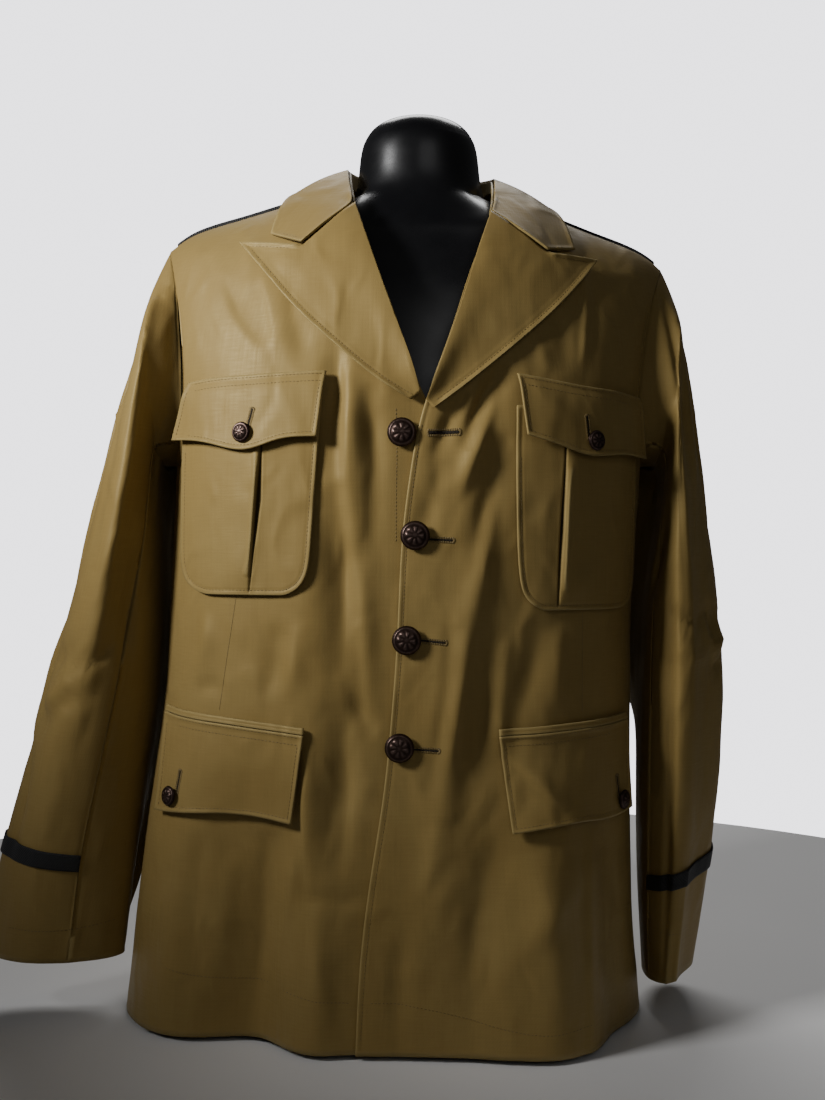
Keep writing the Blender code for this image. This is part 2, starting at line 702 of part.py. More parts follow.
COLLAR_ACROSS = (0.0, 0.16, 0.38, 0.62, 0.82, 1.0)
COLLAR_NOTCH_SHARE = 0.62
COLLAR_BELLY = 0.0035
GORGE_GAP = 0.0026
STAND_GAP = 0.0028
STAND_DROP = 0.040
STAND_REST = 0.0012


def surface_above(x, y):
    """Height of the body's outer face over a point of the plan, near the shoulders."""
    low, high = CHEST_HEIGHT, shoulder_height(x) + 0.02
    front = y < RIDGE_Y
    fullness = CHEST_FULLNESS if front else BACK_FULLNESS
    section = BODY[-1]
    sin = min(1.0, abs(x - SHOULDER_CENTRE) / (section.half_width * 1.09))
    cos = math.sqrt(1 - sin * sin)
    depth = (section.front_depth if front else section.back_depth) * cos
    ratio = min(1.0, abs(y - RIDGE_Y) / depth)
    share = (1 - ratio**2) ** (1 / fullness)
    height = CHEST_HEIGHT + share * (shoulder_height(x) - CHEST_HEIGHT)
    behind = max(0.0, (y - RIDGE_Y) / BACK_RISE_REACH)
    rise = BACK_RISE + BACK_RISE_TILT * max(min(x, 0.13), -0.13)
    height += rise * behind * math.exp(1 - behind)
    return min(max(height, low), high)


def collar_leaf():
    """The fall, from its fold down to its outer edge, with a pointed end at each notch."""
    outer = []
    for k in range(COLLAR_COLUMNS + 1):
        share = mix(-1.0, 1.0, k / COLLAR_COLUMNS)
        place = read_table(COLLAR, share)
        fold = Vector((place.fold_x, place.fold_y, place.fold_z))
        edge = Vector((place.edge_x, place.edge_y, 0))
        edge.z = surface_above(edge.x, edge.y) + place.rise + CLOTH
        middle = (fold + edge) / 2
        away = Vector((middle.x * 0.6, middle.y, 0.08)).normalized()
        column = []
        for across in COLLAR_ACROSS:
            point = fold.lerp(edge, across) + away * COLLAR_BELLY * math.sin(math.pi * across)
            end = ease((abs(share) - 0.82) / 0.18)
            if end > 0:
                notch_x, notch_z = RIGHT_NOTCH if share < 0 else LEFT_NOTCH
                notch = on_front(notch_x, notch_z + GORGE_GAP, 0.0075)
                if across <= COLLAR_NOTCH_SHARE:
                    gorge = fold.lerp(notch, across / COLLAR_NOTCH_SHARE)
                    gorge.y -= 0.006 * math.sin(math.pi * across / COLLAR_NOTCH_SHARE)
                else:
                    gorge = notch.lerp(edge, (across - COLLAR_NOTCH_SHARE) / (1 - COLLAR_NOTCH_SHARE))
                point = point.lerp(gorge, end)
            column.append(point)
        outer.append(column)
    # A row runs along the collar, from its outer edge up to the fold
    grid = []
    for a in reversed(range(len(COLLAR_ACROSS))):
        grid.append([outer[k][a] for k in range(COLLAR_COLUMNS + 1)])
    return cloth_wall("collar_leaf", grid)


def collar_stand():
    """The band inside the fold, from the neck seam up to it."""
    top, bottom = [], []
    for k in range(COLLAR_COLUMNS + 1):
        share = mix(-0.97, 0.97, k / COLLAR_COLUMNS)
        place = read_table(COLLAR, share)
        fold = Vector((place.fold_x, place.fold_y, place.fold_z))
        inwards = Vector((-(place.fold_x - 0.002), -(place.fold_y - 0.005), 0)).normalized()
        top.append(fold + inwards * STAND_GAP - Vector((0, 0, 0.001)))
        low = top[-1] + inwards * 0.0004
        low.z = max(fold.z - STAND_DROP, surface_above(low.x, low.y) + STAND_REST)
        bottom.append(low)
    middle = [(a + b) / 2 for a, b in zip(top, bottom)]
    return cloth_wall("collar_stand", [bottom, middle, top])


collar_leaf()
collar_stand()

# Breast pockets: patch with one pleat, and a flap with a pointed middle
PocketRow = namedtuple("PocketRow", "z outer_x inner_x")
RIGHT_POCKET = (
    PocketRow(0.387, -0.184, -0.110),
    PocketRow(0.393, -0.198, -0.098),
    PocketRow(0.407, -0.206, -0.0915),
    PocketRow(0.450, -0.2075, -0.088),
    PocketRow(0.520, -0.2065, -0.083),
    PocketRow(0.560, -0.204, -0.080),
)
LEFT_POCKET = (
    PocketRow(0.374, 0.178, 0.104),
    PocketRow(0.380, 0.186, 0.092),
    PocketRow(0.394, 0.190, 0.085),
    PocketRow(0.450, 0.191, 0.0815),
    PocketRow(0.520, 0.191, 0.0815),
    PocketRow(0.546, 0.191, 0.0815),
)
RIGHT_PLEAT = (-0.1434, -0.1290)
LEFT_PLEAT = (0.1173, 0.1256)
POCKET_LIFT = 0.0014
PLEAT_LIFT = 0.0030
POCKET_ROWS = 9
POCKET_SIDE_COLUMNS = 5
FLAP_LIFT = 0.0046
FLAP_SEAM_LIFT = 0.0006
RIGHT_LOWER_LIFT = 0.0012
LEFT_LOWER_LIFT = 0.0018
FLAP_COLUMNS = 10


def patch_pocket(name, rows, pleat, raised):
    """A patch on the front. Raised is -1 or 1: the side of the pleat that lies on top."""
    outer, inner = [], []
    for i in range(POCKET_ROWS + 1):
        z = mix(rows[0].z, rows[-1].z, (i / POCKET_ROWS) ** 1.5)
        place = read_table(rows, z)
        low_x, high_x = sorted((place.outer_x, place.inner_x))
        fold_x = mix(*pleat, i / POCKET_ROWS)
        shares = [k / POCKET_SIDE_COLUMNS for k in range(POCKET_SIDE_COLUMNS + 1)]
        xs = [mix(low_x, fold_x - 0.0012, k) for k in shares]
        xs += [mix(fold_x + 0.0012, high_x, k) for k in shares]
        outer_row, inner_row = [], []
        for x in xs:
            edge = ease(min(x - low_x, high_x - x) / 0.012)
            side = 1 if x > fold_x else -1
            close = math.exp(-(((x - fold_x) / 0.03) ** 2)) * ease((z - rows[0].z) / 0.02)
            close *= ease((rows[-1].z + 0.005 - z) / 0.06)
            lift = POCKET_LIFT + edge * (0.0006 + PLEAT_LIFT * close * (side == raised))
            inner_row.append(on_front(x, z, lift))
            outer_row.append(on_front(x, z, lift + POCKET_CLOTH))
        outer.append(outer_row)
        inner.append(inner_row)
    return two_skins(name, outer, inner, KHAKI)


FlapEdge = namedtuple("FlapEdge", "share top_z bottom_z top_x bottom_x")
RIGHT_BREAST_FLAP = (
    FlapEdge(0.00, 0.5720, 0.5220, -0.1990, -0.2085),
    FlapEdge(0.25, 0.5735, 0.5180, -0.1740, -0.1790),
    FlapEdge(0.50, 0.5735, 0.5085, -0.1420, -0.1440),
    FlapEdge(0.75, 0.5745, 0.5180, -0.1100, -0.1120),
    FlapEdge(1.00, 0.5750, 0.5190, -0.0770, -0.0830),
)
LEFT_BREAST_FLAP = (
    FlapEdge(0.00, 0.5730, 0.5210, 0.0820, 0.0880),
    FlapEdge(0.25, 0.5690, 0.5130, 0.1100, 0.1150),
    FlapEdge(0.50, 0.5650, 0.5045, 0.1380, 0.1420),
    FlapEdge(0.75, 0.5630, 0.5080, 0.1660, 0.1690),
    FlapEdge(1.00, 0.5600, 0.5060, 0.1930, 0.1930),
)
RIGHT_LOWER_FLAP = (
    FlapEdge(0.00, 0.2810, 0.1960, -0.2230, -0.2265),
    FlapEdge(0.25, 0.2790, 0.1985, -0.1980, -0.2020),
    FlapEdge(0.50, 0.2770, 0.2020, -0.1640, -0.1690),
    FlapEdge(0.75, 0.2740, 0.2020, -0.1290, -0.1350),
    FlapEdge(1.00, 0.2710, 0.1975, -0.0950, -0.1040),
)
LEFT_LOWER_FLAP = (
    FlapEdge(0.00, 0.2690, 0.1885, 0.0660, 0.0780),
    FlapEdge(0.25, 0.2700, 0.1920, 0.0960, 0.1040),
    FlapEdge(0.50, 0.2715, 0.1945, 0.1260, 0.1320),
    FlapEdge(0.75, 0.2730, 0.1930, 0.1560, 0.1600),
    FlapEdge(1.00, 0.2750, 0.1960, 0.1830, 0.1850),
)


def flap(name, edges, seam_lift, base_lift, hang_lift, rows=5):
    """A flap sewn along its top edge, standing off a little towards its lower one."""
    outer, inner = [], []
    for i in range(rows + 1):
        up = i / rows
        outer_row, inner_row = [], []
        for k in range(FLAP_COLUMNS + 1):
            place = read_table(edges, k / FLAP_COLUMNS)
            x, z = mix(place.bottom_x, place.top_x, up), mix(place.bottom_z, place.top_z, up)
            lift = seam_lift if up == 1.0 else mix(hang_lift, base_lift, up**0.6)
            inner_row.append(on_front(x, z, lift))
            outer_row.append(on_front(x, z, lift + CLOTH))
        outer.append(outer_row)
        inner.append(inner_row)
    return two_skins(name, outer, inner, KHAKI)


WELT_HEIGHT = 0.006


def welt(name, edges, lift):
    """The narrow piped strip along the top of a lower flap."""
    raised = []
    for edge in edges:
        low, high = edge.top_z + 2 * SEAM, edge.top_z + WELT_HEIGHT
        raised.append(edge._replace(bottom_z=low, top_z=high, bottom_x=edge.top_x))
    return flap(name, raised, lift, lift, lift + 0.001, rows=1)


patch_pocket("breast_pocket_right", RIGHT_POCKET, RIGHT_PLEAT, -1)
patch_pocket("breast_pocket_left", LEFT_POCKET, LEFT_PLEAT, 1)
flap("breast_flap_right", RIGHT_BREAST_FLAP, FLAP_SEAM_LIFT, FLAP_LIFT, FLAP_LIFT + 0.0035)
flap("breast_flap_left", LEFT_BREAST_FLAP, FLAP_SEAM_LIFT, FLAP_LIFT, FLAP_LIFT + 0.0035)
flap("lower_flap_right", RIGHT_LOWER_FLAP, RIGHT_LOWER_LIFT, RIGHT_LOWER_LIFT, 0.0045)
flap("lower_flap_left", LEFT_LOWER_FLAP, LEFT_LOWER_LIFT, LEFT_LOWER_LIFT, 0.0045)
welt("lower_welt_right", RIGHT_LOWER_FLAP, RIGHT_LOWER_LIFT)
welt("lower_welt_left", LEFT_LOWER_FLAP, LEFT_LOWER_LIFT)

# Buttons: a domed shell with a rolled rim on a short shank
LARGE_BUTTON = 0.0254
SMALL_BUTTON = 0.0180
BUTTON_SEGMENTS = 14


def button(name, diameter, x, z, lift):
    """Turned button, its back at lift above the body, facing along the cloth's normal."""
    radius = diameter / 2
    profile = (
        (0.0, 0.0),
        (radius * 0.30, 0.0),
        (radius * 0.30, radius * 0.12),
        (radius * 0.94, radius * 0.16),
        (radius, radius * 0.26),
        (radius * 0.92, radius * 0.38),
        (radius * 0.55, radius * 0.54),
        (0.0, radius * 0.62),
    )
    shape = bmesh.new()
    ring = [shape.verts.new((r, 0, h)) for r, h in profile]
    line = [shape.edges.new(pair) for pair in zip(ring, ring[1:])]
    bmesh.ops.spin(
        shape, geom=ring + line, cent=(0, 0, 0), axis=(0, 0, 1), angle=2 * math.pi, steps=BUTTON_SEGMENTS
    )
    bmesh.ops.remove_doubles(shape, verts=shape.verts, dist=1e-5)
    bmesh.ops.recalc_face_normals(shape, faces=shape.faces)
    mesh = bpy.data.meshes.new(name)
    shape.to_mesh(mesh)
    shape.free()
    base, ahead = on_front(x, z, lift), on_front(x, z, lift + 0.01)
    turn = (ahead - base).to_track_quat("Z", "Y").to_matrix().to_4x4()
    made = add_object(name, mesh, BRONZE)
    made.matrix_world = turn
    made.location = base
    mesh.shade_smooth()
    return made


ButtonPlace = namedtuple("ButtonPlace", "name x z lift diameter")
FRONT_BUTTON_LIFT = 2 * SEAM
BREAST_BUTTON_LIFT = 0.0090
LOWER_BUTTON_LIFT = 0.0061
UNDER_LAP_LIFT = -0.0024
BUTTONS = (
    ButtonPlace("front_button_1", -0.0140, 0.5230, UNDER_LAP_LIFT, LARGE_BUTTON),
    ButtonPlace("front_button_2", -0.0031, 0.4370, FRONT_BUTTON_LIFT, LARGE_BUTTON),
    ButtonPlace("front_button_3", -0.0100, 0.3500, FRONT_BUTTON_LIFT, LARGE_BUTTON),
    ButtonPlace("front_button_4", -0.0160, 0.2610, FRONT_BUTTON_LIFT, LARGE_BUTTON),
    ButtonPlace("breast_button_right", -0.1450, 0.5240, BREAST_BUTTON_LIFT, SMALL_BUTTON),
    ButtonPlace("breast_button_left", 0.1455, 0.5180, BREAST_BUTTON_LIFT, SMALL_BUTTON),
    ButtonPlace("lower_button_right", -0.2110, 0.2110, LOWER_BUTTON_LIFT, SMALL_BUTTON),
    ButtonPlace("lower_button_left", 0.1740, 0.2060, LOWER_BUTTON_LIFT, SMALL_BUTTON),
)
for place in BUTTONS:
    button(place.name, place.diameter, place.x, place.z, place.lift)

# Black piping along each shoulder seam, from under the collar to the sleeve head
PIPING_COLLAR_RADIUS = 0.0019
PIPING_SLEEVE_RADIUS = 0.0011
PIPING_POINTS = 12
PIPING_SIDES = 8


def shoulder_piping(name, start_x, end_x):
    shape = bmesh.new()
    rings = []
    for k in range(PIPING_POINTS):
        x, y = mix(start_x, end_x, k / (PIPING_POINTS - 1)), RIDGE_Y - 0.004
        radius = mix(PIPING_COLLAR_RADIUS, PIPING_SLEEVE_RADIUS, k / (PIPING_POINTS - 1))
        z = surface_above(x, y) + radius + SEAM * 2
        turns = [2 * math.pi * i / PIPING_SIDES for i in range(PIPING_SIDES)]
        ring = [(x, y + radius * math.cos(t), z + radius * math.sin(t)) for t in turns]
        rings.append([shape.verts.new(place) for place in ring])
    for ring, after in zip(rings, rings[1:]):
        for i in range(PIPING_SIDES):
            following = (i + 1) % PIPING_SIDES
            shape.faces.new((ring[i], ring[following], after[following], after[i]))
    shape.faces.new(rings[0][::-1])
    shape.faces.new(rings[-1])
    bmesh.ops.recalc_face_normals(shape, faces=shape.faces)
    mesh = bpy.data.meshes.new(name)
    shape.to_mesh(mesh)
    shape.free()
    made = add_object(name, mesh, BLACK_BRAID)
    mesh.shade_smooth()
    mesh.set_sharp_from_angle(angle=math.radians(50))
    return made


shoulder_piping("shoulder_piping_right", -0.1180, -0.2260)
shoulder_piping("shoulder_piping_left", 0.1250, 0.2220)

# Dress form: a smooth limbless torso and neck with a flat base
FormSection = namedtuple("FormSection", "height half_width front_depth back_depth")
FORM = (
    FormSection(0.000, 0.1500, 0.098, 0.100),
    FormSection(0.060, 0.1540, 0.101, 0.104),
    FormSection(0.180, 0.1520, 0.100, 0.104),
    FormSection(0.300, 0.1420, 0.094, 0.094),
    FormSection(0.420, 0.1560, 0.103, 0.098),
    FormSection(0.520, 0.1740, 0.110, 0.104),
    FormSection(0.600, 0.1860, 0.104, 0.104),
    FormSection(0.660, 0.1930, 0.092, 0.100),
    FormSection(0.700, 0.1870, 0.078, 0.094),
    FormSection(0.7130, 0.1760, 0.076, 0.088),
    FormSection(0.7210, 0.1560, 0.073, 0.080),
    FormSection(0.7295, 0.1300, 0.069, 0.070),
    FormSection(0.7400, 0.0900, 0.065, 0.060),
    FormSection(0.7500, 0.0635, 0.061, 0.055),
    FormSection(0.7600, 0.0600, 0.058, 0.054),
    FormSection(0.7700, 0.0578, 0.0565, 0.0545),
    FormSection(0.7850, 0.0565, 0.0555, 0.0550),
    FormSection(0.7980, 0.0550, 0.0545, 0.0545),
    FormSection(0.8080, 0.0520, 0.0515, 0.0515),
    FormSection(0.8160, 0.0470, 0.0465, 0.0465),
    FormSection(0.8220, 0.0400, 0.0400, 0.0400),
    FormSection(0.8265, 0.0290, 0.0290, 0.0290),
    FormSection(0.8290, 0.0130, 0.0130, 0.0130),
)
FORM_CENTRE = 0.001
FORM_SEGMENTS = 28
FORM_CLEARANCE = 0.0009
NECK_ROOT = 0.755
OPENING_HALF_WIDTH = 0.043


def room_inside_cloth(x, z, front):
    """How deep the form may be at x and z and still lie clear inside the jacket."""
    raised = z + CLOTH + FORM_CLEARANCE
    share = (raised - CHEST_HEIGHT) / (shoulder_height(x) - CHEST_HEIGHT)
    if share <= 0:
        return 1.0
    section = BODY[-1]
    sin = min(1.0, abs(x - SHOULDER_CENTRE) / (section.half_width * 1.09))
    depth = (section.front_depth if front else section.back_depth) * math.sqrt(1 - sin * sin)
    fullness = CHEST_FULLNESS if front else BACK_FULLNESS
    return max(0.0, depth * math.sqrt(max(0.0, 1 - min(share, 1.0) ** fullness)) - 0.004)


def dress_form():
    shape = bmesh.new()
    rings = []
    for section in FORM:
        ring = []
        for k in range(FORM_SEGMENTS):
            angle = 2 * math.pi * k / FORM_SEGMENTS
            sin, cos = math.sin(angle), math.cos(angle)
            x = FORM_CENTRE + section.half_width * sin
            front = cos > 0
            depth = (section.front_depth if front else section.back_depth) * abs(cos)
            if section.height < NECK_ROOT:
                room = room_inside_cloth(x, section.height, front)
                covered = ease((abs(x) - OPENING_HALF_WIDTH) / 0.012) if front else 1.0
                depth = mix(depth, min(depth, room), covered)
            ring.append(shape.verts.new((x, -depth if front else depth, section.height)))
        rings.append(ring)
    for lower, upper in zip(rings, rings[1:]):
        for k in range(FORM_SEGMENTS):
            after = (k + 1) % FORM_SEGMENTS
            shape.faces.new((lower[k], lower[after], upper[after], upper[k]))
    shape.faces.new(rings[0][::-1])
    shape.faces.new(rings[-1])
    bmesh.ops.recalc_face_normals(shape, faces=shape.faces)
    mesh = bpy.data.meshes.new("dress_form")
    shape.to_mesh(mesh)
    shape.free()
    made = add_object("dress_form", mesh, GLOSS_BLACK)
    mesh.shade_smooth()
    mesh.set_sharp_from_angle(angle=math.radians(50))
    return made


dress_form()
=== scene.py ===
import math
from collections import namedtuple

import bpy
import numpy as np
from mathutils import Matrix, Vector, noise
from mathutils.bvhtree import BVHTree
from mathutils.kdtree import KDTree


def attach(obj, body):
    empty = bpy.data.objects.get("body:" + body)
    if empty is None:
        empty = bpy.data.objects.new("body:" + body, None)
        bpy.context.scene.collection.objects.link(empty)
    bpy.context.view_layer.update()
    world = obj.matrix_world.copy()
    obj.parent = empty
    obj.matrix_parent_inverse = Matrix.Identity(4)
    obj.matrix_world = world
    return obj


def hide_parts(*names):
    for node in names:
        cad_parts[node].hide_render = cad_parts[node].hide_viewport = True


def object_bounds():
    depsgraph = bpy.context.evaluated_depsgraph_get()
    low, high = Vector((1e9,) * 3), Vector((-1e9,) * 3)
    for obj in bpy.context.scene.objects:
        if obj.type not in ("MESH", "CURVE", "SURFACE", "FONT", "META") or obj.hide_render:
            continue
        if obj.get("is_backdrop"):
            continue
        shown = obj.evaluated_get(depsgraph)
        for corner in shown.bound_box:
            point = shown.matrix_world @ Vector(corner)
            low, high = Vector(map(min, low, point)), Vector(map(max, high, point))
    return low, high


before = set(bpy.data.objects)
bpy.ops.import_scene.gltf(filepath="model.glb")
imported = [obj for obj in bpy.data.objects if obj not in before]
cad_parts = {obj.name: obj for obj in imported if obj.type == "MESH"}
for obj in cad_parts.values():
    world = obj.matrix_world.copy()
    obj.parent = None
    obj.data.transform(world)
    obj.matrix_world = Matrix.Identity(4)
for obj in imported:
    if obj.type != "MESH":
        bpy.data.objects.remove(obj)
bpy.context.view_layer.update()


# ---- dress form
# A limbless torso and neck, moulded in black plastic and polished. It stands on its own
# cut base, and the jacket hangs on its shoulders.

# Above this height the form is the moulded top of its neck: one even dome.
NECK_TOP = 0.806
DOME_PASSES = 24
# Triangles of the CAD mesh that turn by less than this are joined into quads.
QUAD_ANGLE = 52
QUAD_SHAPE = 178


def linear(code):
    """One sRGB hex colour as the linear colour that a shader takes."""
    parts = [int(code[i:i + 2], 16) / 255 for i in (1, 3, 5)]
    return [p / 12.92 if p <= 0.04045 else ((p + 0.055) / 1.055) ** 2.4 for p in parts] + [1.0]


def add_node(tree, kind, inputs=None, **settings):
    """One shader node with its settings; an input is a value, or another node's output."""
    made = tree.nodes.new(kind)
    for name, value in settings.items():
        setattr(made, name, value)
    for name, value in (inputs or {}).items():
        if isinstance(value, bpy.types.NodeSocket):
            tree.links.new(value, made.inputs[name])
        else:
            made.inputs[name].default_value = value
    return made


def new_material(name):
    """An empty node material and its tree."""
    made = bpy.data.materials.new(name)
    made.use_nodes = True
    made.node_tree.nodes.clear()
    return made, made.node_tree


def noise_value(tree, vector, scale, detail):
    """A cloudy value over the surface; the scale is in repeats per metre."""
    made = add_node(tree, "ShaderNodeTexNoise", {"Vector": vector, "Scale": scale, "Detail": detail})
    return made.outputs["Fac"]


def remap(tree, value, low, high, new_low, new_high):
    """The value moved from one range to another."""
    made = add_node(tree, "ShaderNodeMapRange", {
        "Value": value, "From Min": low, "From Max": high, "To Min": new_low, "To Max": new_high})
    return made.outputs["Result"]


def relief(tree, height, strength, distance, **more):
    """A bump, its distance in metres."""
    made = add_node(tree, "ShaderNodeBump", {
        "Height": height, "Strength": strength, "Distance": distance, **more})
    return made.outputs["Normal"]


def surface(tree, inputs):
    """The material's principled shader, joined to its output."""
    shader = add_node(tree, "ShaderNodeBsdfPrincipled", inputs)
    add_node(tree, "ShaderNodeOutputMaterial", {"Surface": shader.outputs["BSDF"]})


def select_only(piece):
    """The operators that follow act on this piece alone."""
    if bpy.context.mode != "OBJECT":
        bpy.ops.object.mode_set(mode="OBJECT")
    bpy.ops.object.select_all(action="DESELECT")
    piece.select_set(True)
    bpy.context.view_layer.objects.active = piece


def smooth_copy(node, name, levels, crease=1.0, sharp=50):
    """A copy of a CAD node's mesh, merged, made into quads and rounded, its cut edges kept."""
    piece = bpy.data.objects.new(name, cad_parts[node].data.copy())
    bpy.context.scene.collection.objects.link(piece)
    piece.data.materials.clear()
    select_only(piece)
    bpy.ops.object.mode_set(mode="EDIT")
    bpy.ops.mesh.select_mode(type="EDGE")
    bpy.ops.mesh.select_all(action="SELECT")
    bpy.ops.mesh.remove_doubles(threshold=0.00001)
    bpy.ops.mesh.tris_convert_to_quads(
        face_threshold=math.radians(QUAD_ANGLE), shape_threshold=math.radians(QUAD_SHAPE))
    bpy.ops.mesh.select_all(action="DESELECT")
    bpy.ops.mesh.edges_select_sharp(sharpness=math.radians(sharp))
    bpy.ops.transform.edge_crease(value=crease)
    bpy.ops.mesh.select_all(action="DESELECT")
    bpy.ops.object.mode_set(mode="OBJECT")
    rounding = piece.modifiers.new("rounding", "SUBSURF")
    rounding.levels = levels
    rounding.render_levels = levels
    bpy.ops.object.modifier_apply(modifier=rounding.name)
    bpy.ops.object.shade_smooth_by_angle(angle=math.radians(60))
    return piece


def places(piece):
    """The piece's vertices as rows of x, y, z."""
    rows = np.empty(len(piece.data.vertices) * 3)
    piece.data.vertices.foreach_get("co", rows)
    return rows.reshape(-1, 3)


def put_back(piece, rows):
    """Gives the vertices their new places."""
    piece.data.vertices.foreach_set("co", rows.ravel())
    piece.data.update()


def finish_piece(piece, material, slot, *nodes):
    """Gives the piece its material, lets it ride on the body and stand for its CAD nodes."""
    piece.data.materials.append(material)
    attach(piece, "root")
    if nodes:
        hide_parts(*nodes)
    return piece


# Polished polystyrene: near black, a clear coat, and the faint orange peel of the mould.
form_black, tree = new_material("polished black polystyrene")
place = add_node(tree, "ShaderNodeTexCoord").outputs["Object"]
# The orange peel is 4 mm across; dust and handling haze come in 60 mm clouds.
peel = noise_value(tree, place, 250.0, 2.0)
haze = noise_value(tree, place, 16.0, 5.0)
surface(tree, {
    "Base Color": linear("#0A0A0C"), "Roughness": remap(tree, haze, 0.35, 0.7, 0.24, 0.4), "IOR": 1.59,
    "Coat Weight": 0.15, "Coat Roughness": 0.2, "Normal": relief(tree, peel, 0.05, 0.0006)})

form = smooth_copy("dress_form", "form_torso", 3, 0.9, 40)
for vertex in form.data.vertices:
    if vertex.co.z > NECK_TOP:
        vertex.select = True
bpy.ops.object.mode_set(mode="EDIT")
bpy.ops.mesh.select_mode(type="VERT")
bpy.ops.mesh.vertices_smooth(factor=0.5, repeat=DOME_PASSES)
bpy.ops.mesh.select_all(action="DESELECT")
bpy.ops.object.mode_set(mode="OBJECT")
finish_piece(form, form_black, "black_form", "dress_form")


# ---- back of jacket
# Two back panels of khaki cotton gabardine, sewn together down the middle, with the
# side seams towards the front. They hang from the shoulder seams.

# The body's plan is near an oval of this half width and half depth.
BODY_HALF_WIDTH = 0.24
BODY_HALF_DEPTH = 0.15
BODY_RADIUS = 0.19
# Between these heights the side seams start above the hem, and fade below the shoulder.
HEM = (0.015, 0.03)
SHOULDER = (0.635, 0.655)
# How uneven the cloth lies.
BACK_RUMPLE = 0.0009

# A soft fold: three points along it, its half width, its height (a trough is below 0),
# and its lean, as seen from the front (or through the body from the back).
Fold = namedtuple("Fold", "x0 z0 x1 z1 x2 z2 width height lean")
# The cloth takes each fold this much deeper and wider than its row says.
FOLD_DEPTH = 1.9
FOLD_SOFTNESS = 1.3
# It is felt this many half widths away, and its line is drawn in this many parts.
FOLD_REACH = 3.2
FOLD_STEPS = 10


def fold_rows(table):
    """Folds from rows in millimetres; the last value of a row, the lean, has no unit."""
    return [Fold(*(value / 1000 for value in row[:-1]), row[-1]) for row in table]


BACK_FOLDS = fold_rows([
    (-150, 640, -135, 590, -140, 520, 9, -2.6, 0.2),
    (140, 650, 128, 600, 130, 530, 9, -2.4, -0.2),
    (-60, 660, -20, 645, 40, 655, 10, 1.6, 0),
    (-90, 470, -30, 445, 50, 452, 9, -2.8, 0.3),
    (-120, 430, -60, 412, -10, 420, 8, 2.2, 0),
    (20, 420, 70, 405, 120, 425, 8, -2.4, 0.2),
    (55, 470, 100, 450, 150, 470, 7, 1.8, 0),
    (-160, 470, -150, 400, -165, 320, 10, -3, 0.3),
    (120, 400, 128, 320, 118, 250, 11, 2.6, 0),
    (-170, 320, -160, 180, -172, 20, 13, 3.6, -0.3),
    (-120, 300, -112, 170, -118, 20, 12, -3.8, 0.3),
    (-60, 280, -50, 150, -56, 20, 12, 2.6, 0.1),
    (30, 300, 36, 160, 30, 20, 11, -2.8, 0.2),
    (80, 260, 90, 140, 84, 20, 12, 3.4, -0.2),
    (140, 290, 146, 160, 138, 20, 11, -3, 0.2),
    (-20, 610, -16, 560, -22, 500, 8, -1.2, 0),
])


def fold_height(flat, folds):
    """How far the folds lift or sink the cloth at each place of the flat view."""
    total = np.zeros(len(flat))
    for f in folds:
        start = np.array([f.x0, f.z0])
        middle = np.array([f.x1, f.z1])
        end = np.array([f.x2, f.z2])
        pull = 2 * middle - (start + end) / 2
        reach = FOLD_REACH * f.width * FOLD_SOFTNESS
        near = np.ones(len(flat), bool)
        for axis in (0, 1):
            low = min(start[axis], middle[axis], end[axis]) - reach
            high = max(start[axis], middle[axis], end[axis]) + reach
            near &= (flat[:, axis] > low) & (flat[:, axis] < high)
        if not near.any():
            continue
        spot = flat[near]
        best = np.full(len(spot), 1e9)
        along = np.zeros(len(spot))
        side = np.zeros(len(spot))
        marks = np.linspace(0, 1, FOLD_STEPS + 1)
        line = [(1 - t) ** 2 * start + 2 * t * (1 - t) * pull + t * t * end for t in marks]
        for i in range(FOLD_STEPS):
            run = line[i + 1] - line[i]
            t = np.clip(((spot - line[i]) @ run) / (run @ run), 0, 1)
            away = spot - line[i] - t[:, None] * run
            far = np.hypot(away[:, 0], away[:, 1])
            closer = far < best
            best[closer] = far[closer]
            along[closer] = (marks[i] + t / FOLD_STEPS)[closer]
            turn = run[0] * (spot[:, 1] - line[i][1]) - run[1] * (spot[:, 0] - line[i][0])
            side[closer] = np.sign(turn)[closer]
        width = f.width * FOLD_SOFTNESS * (1 + f.lean * side)
        uneven = 0.86 + 0.14 * np.sin(9.0 * along + 40 * f.x0)
        profile = np.exp(-(best / width) ** 2) * np.sin(np.pi * along) ** 0.8
        total[near] += FOLD_DEPTH * f.height * uneven * profile
    return total


def rumple(flat, amount, seed):
    """Slight unevenness of cloth that has been worn and pressed, 20 to 60 mm across."""
    rows = []
    for x, z in flat:
        broad = noise.noise(Vector((x * 34, z * 15, seed)))
        fine = noise.noise(Vector((x * 80, z * 46, seed + 5)))
        rows.append(broad + 0.5 * fine)
    return amount * np.array(rows)


def body_outward(rows):
    """The way out of the body at each place, level with the ground."""
    out = np.zeros_like(rows)
    out[:, 0] = rows[:, 0] / BODY_HALF_WIDTH ** 2
    out[:, 1] = rows[:, 1] / BODY_HALF_DEPTH ** 2
    return out / np.linalg.norm(out, axis=1)[:, None]


def ease(value, low, high):
    """A soft step from 0 at low to 1 at high."""
    t = np.clip((value - low) / (high - low), 0, 1)
    return t * t * (3 - 2 * t)


def fold_body(piece, folds, amount, seed, over=(), lap=()):
    """Presses folds and unevenness in; past the lap line, the folds of the piece over it."""
    rows = places(piece)
    flat = rows[:, [0, 2]]
    lift = fold_height(flat, folds)
    if over:
        edge = np.interp(flat[:, 1], *np.array(sorted(lap)).T)
        hidden = ease(flat[:, 0] - edge, -0.012, 0.002)
        lift += hidden * (fold_height(flat, over) - lift - 0.0004)
    lift += rumple(flat, amount, seed)
    rows += body_outward(rows) * lift[:, None]
    put_back(piece, rows)


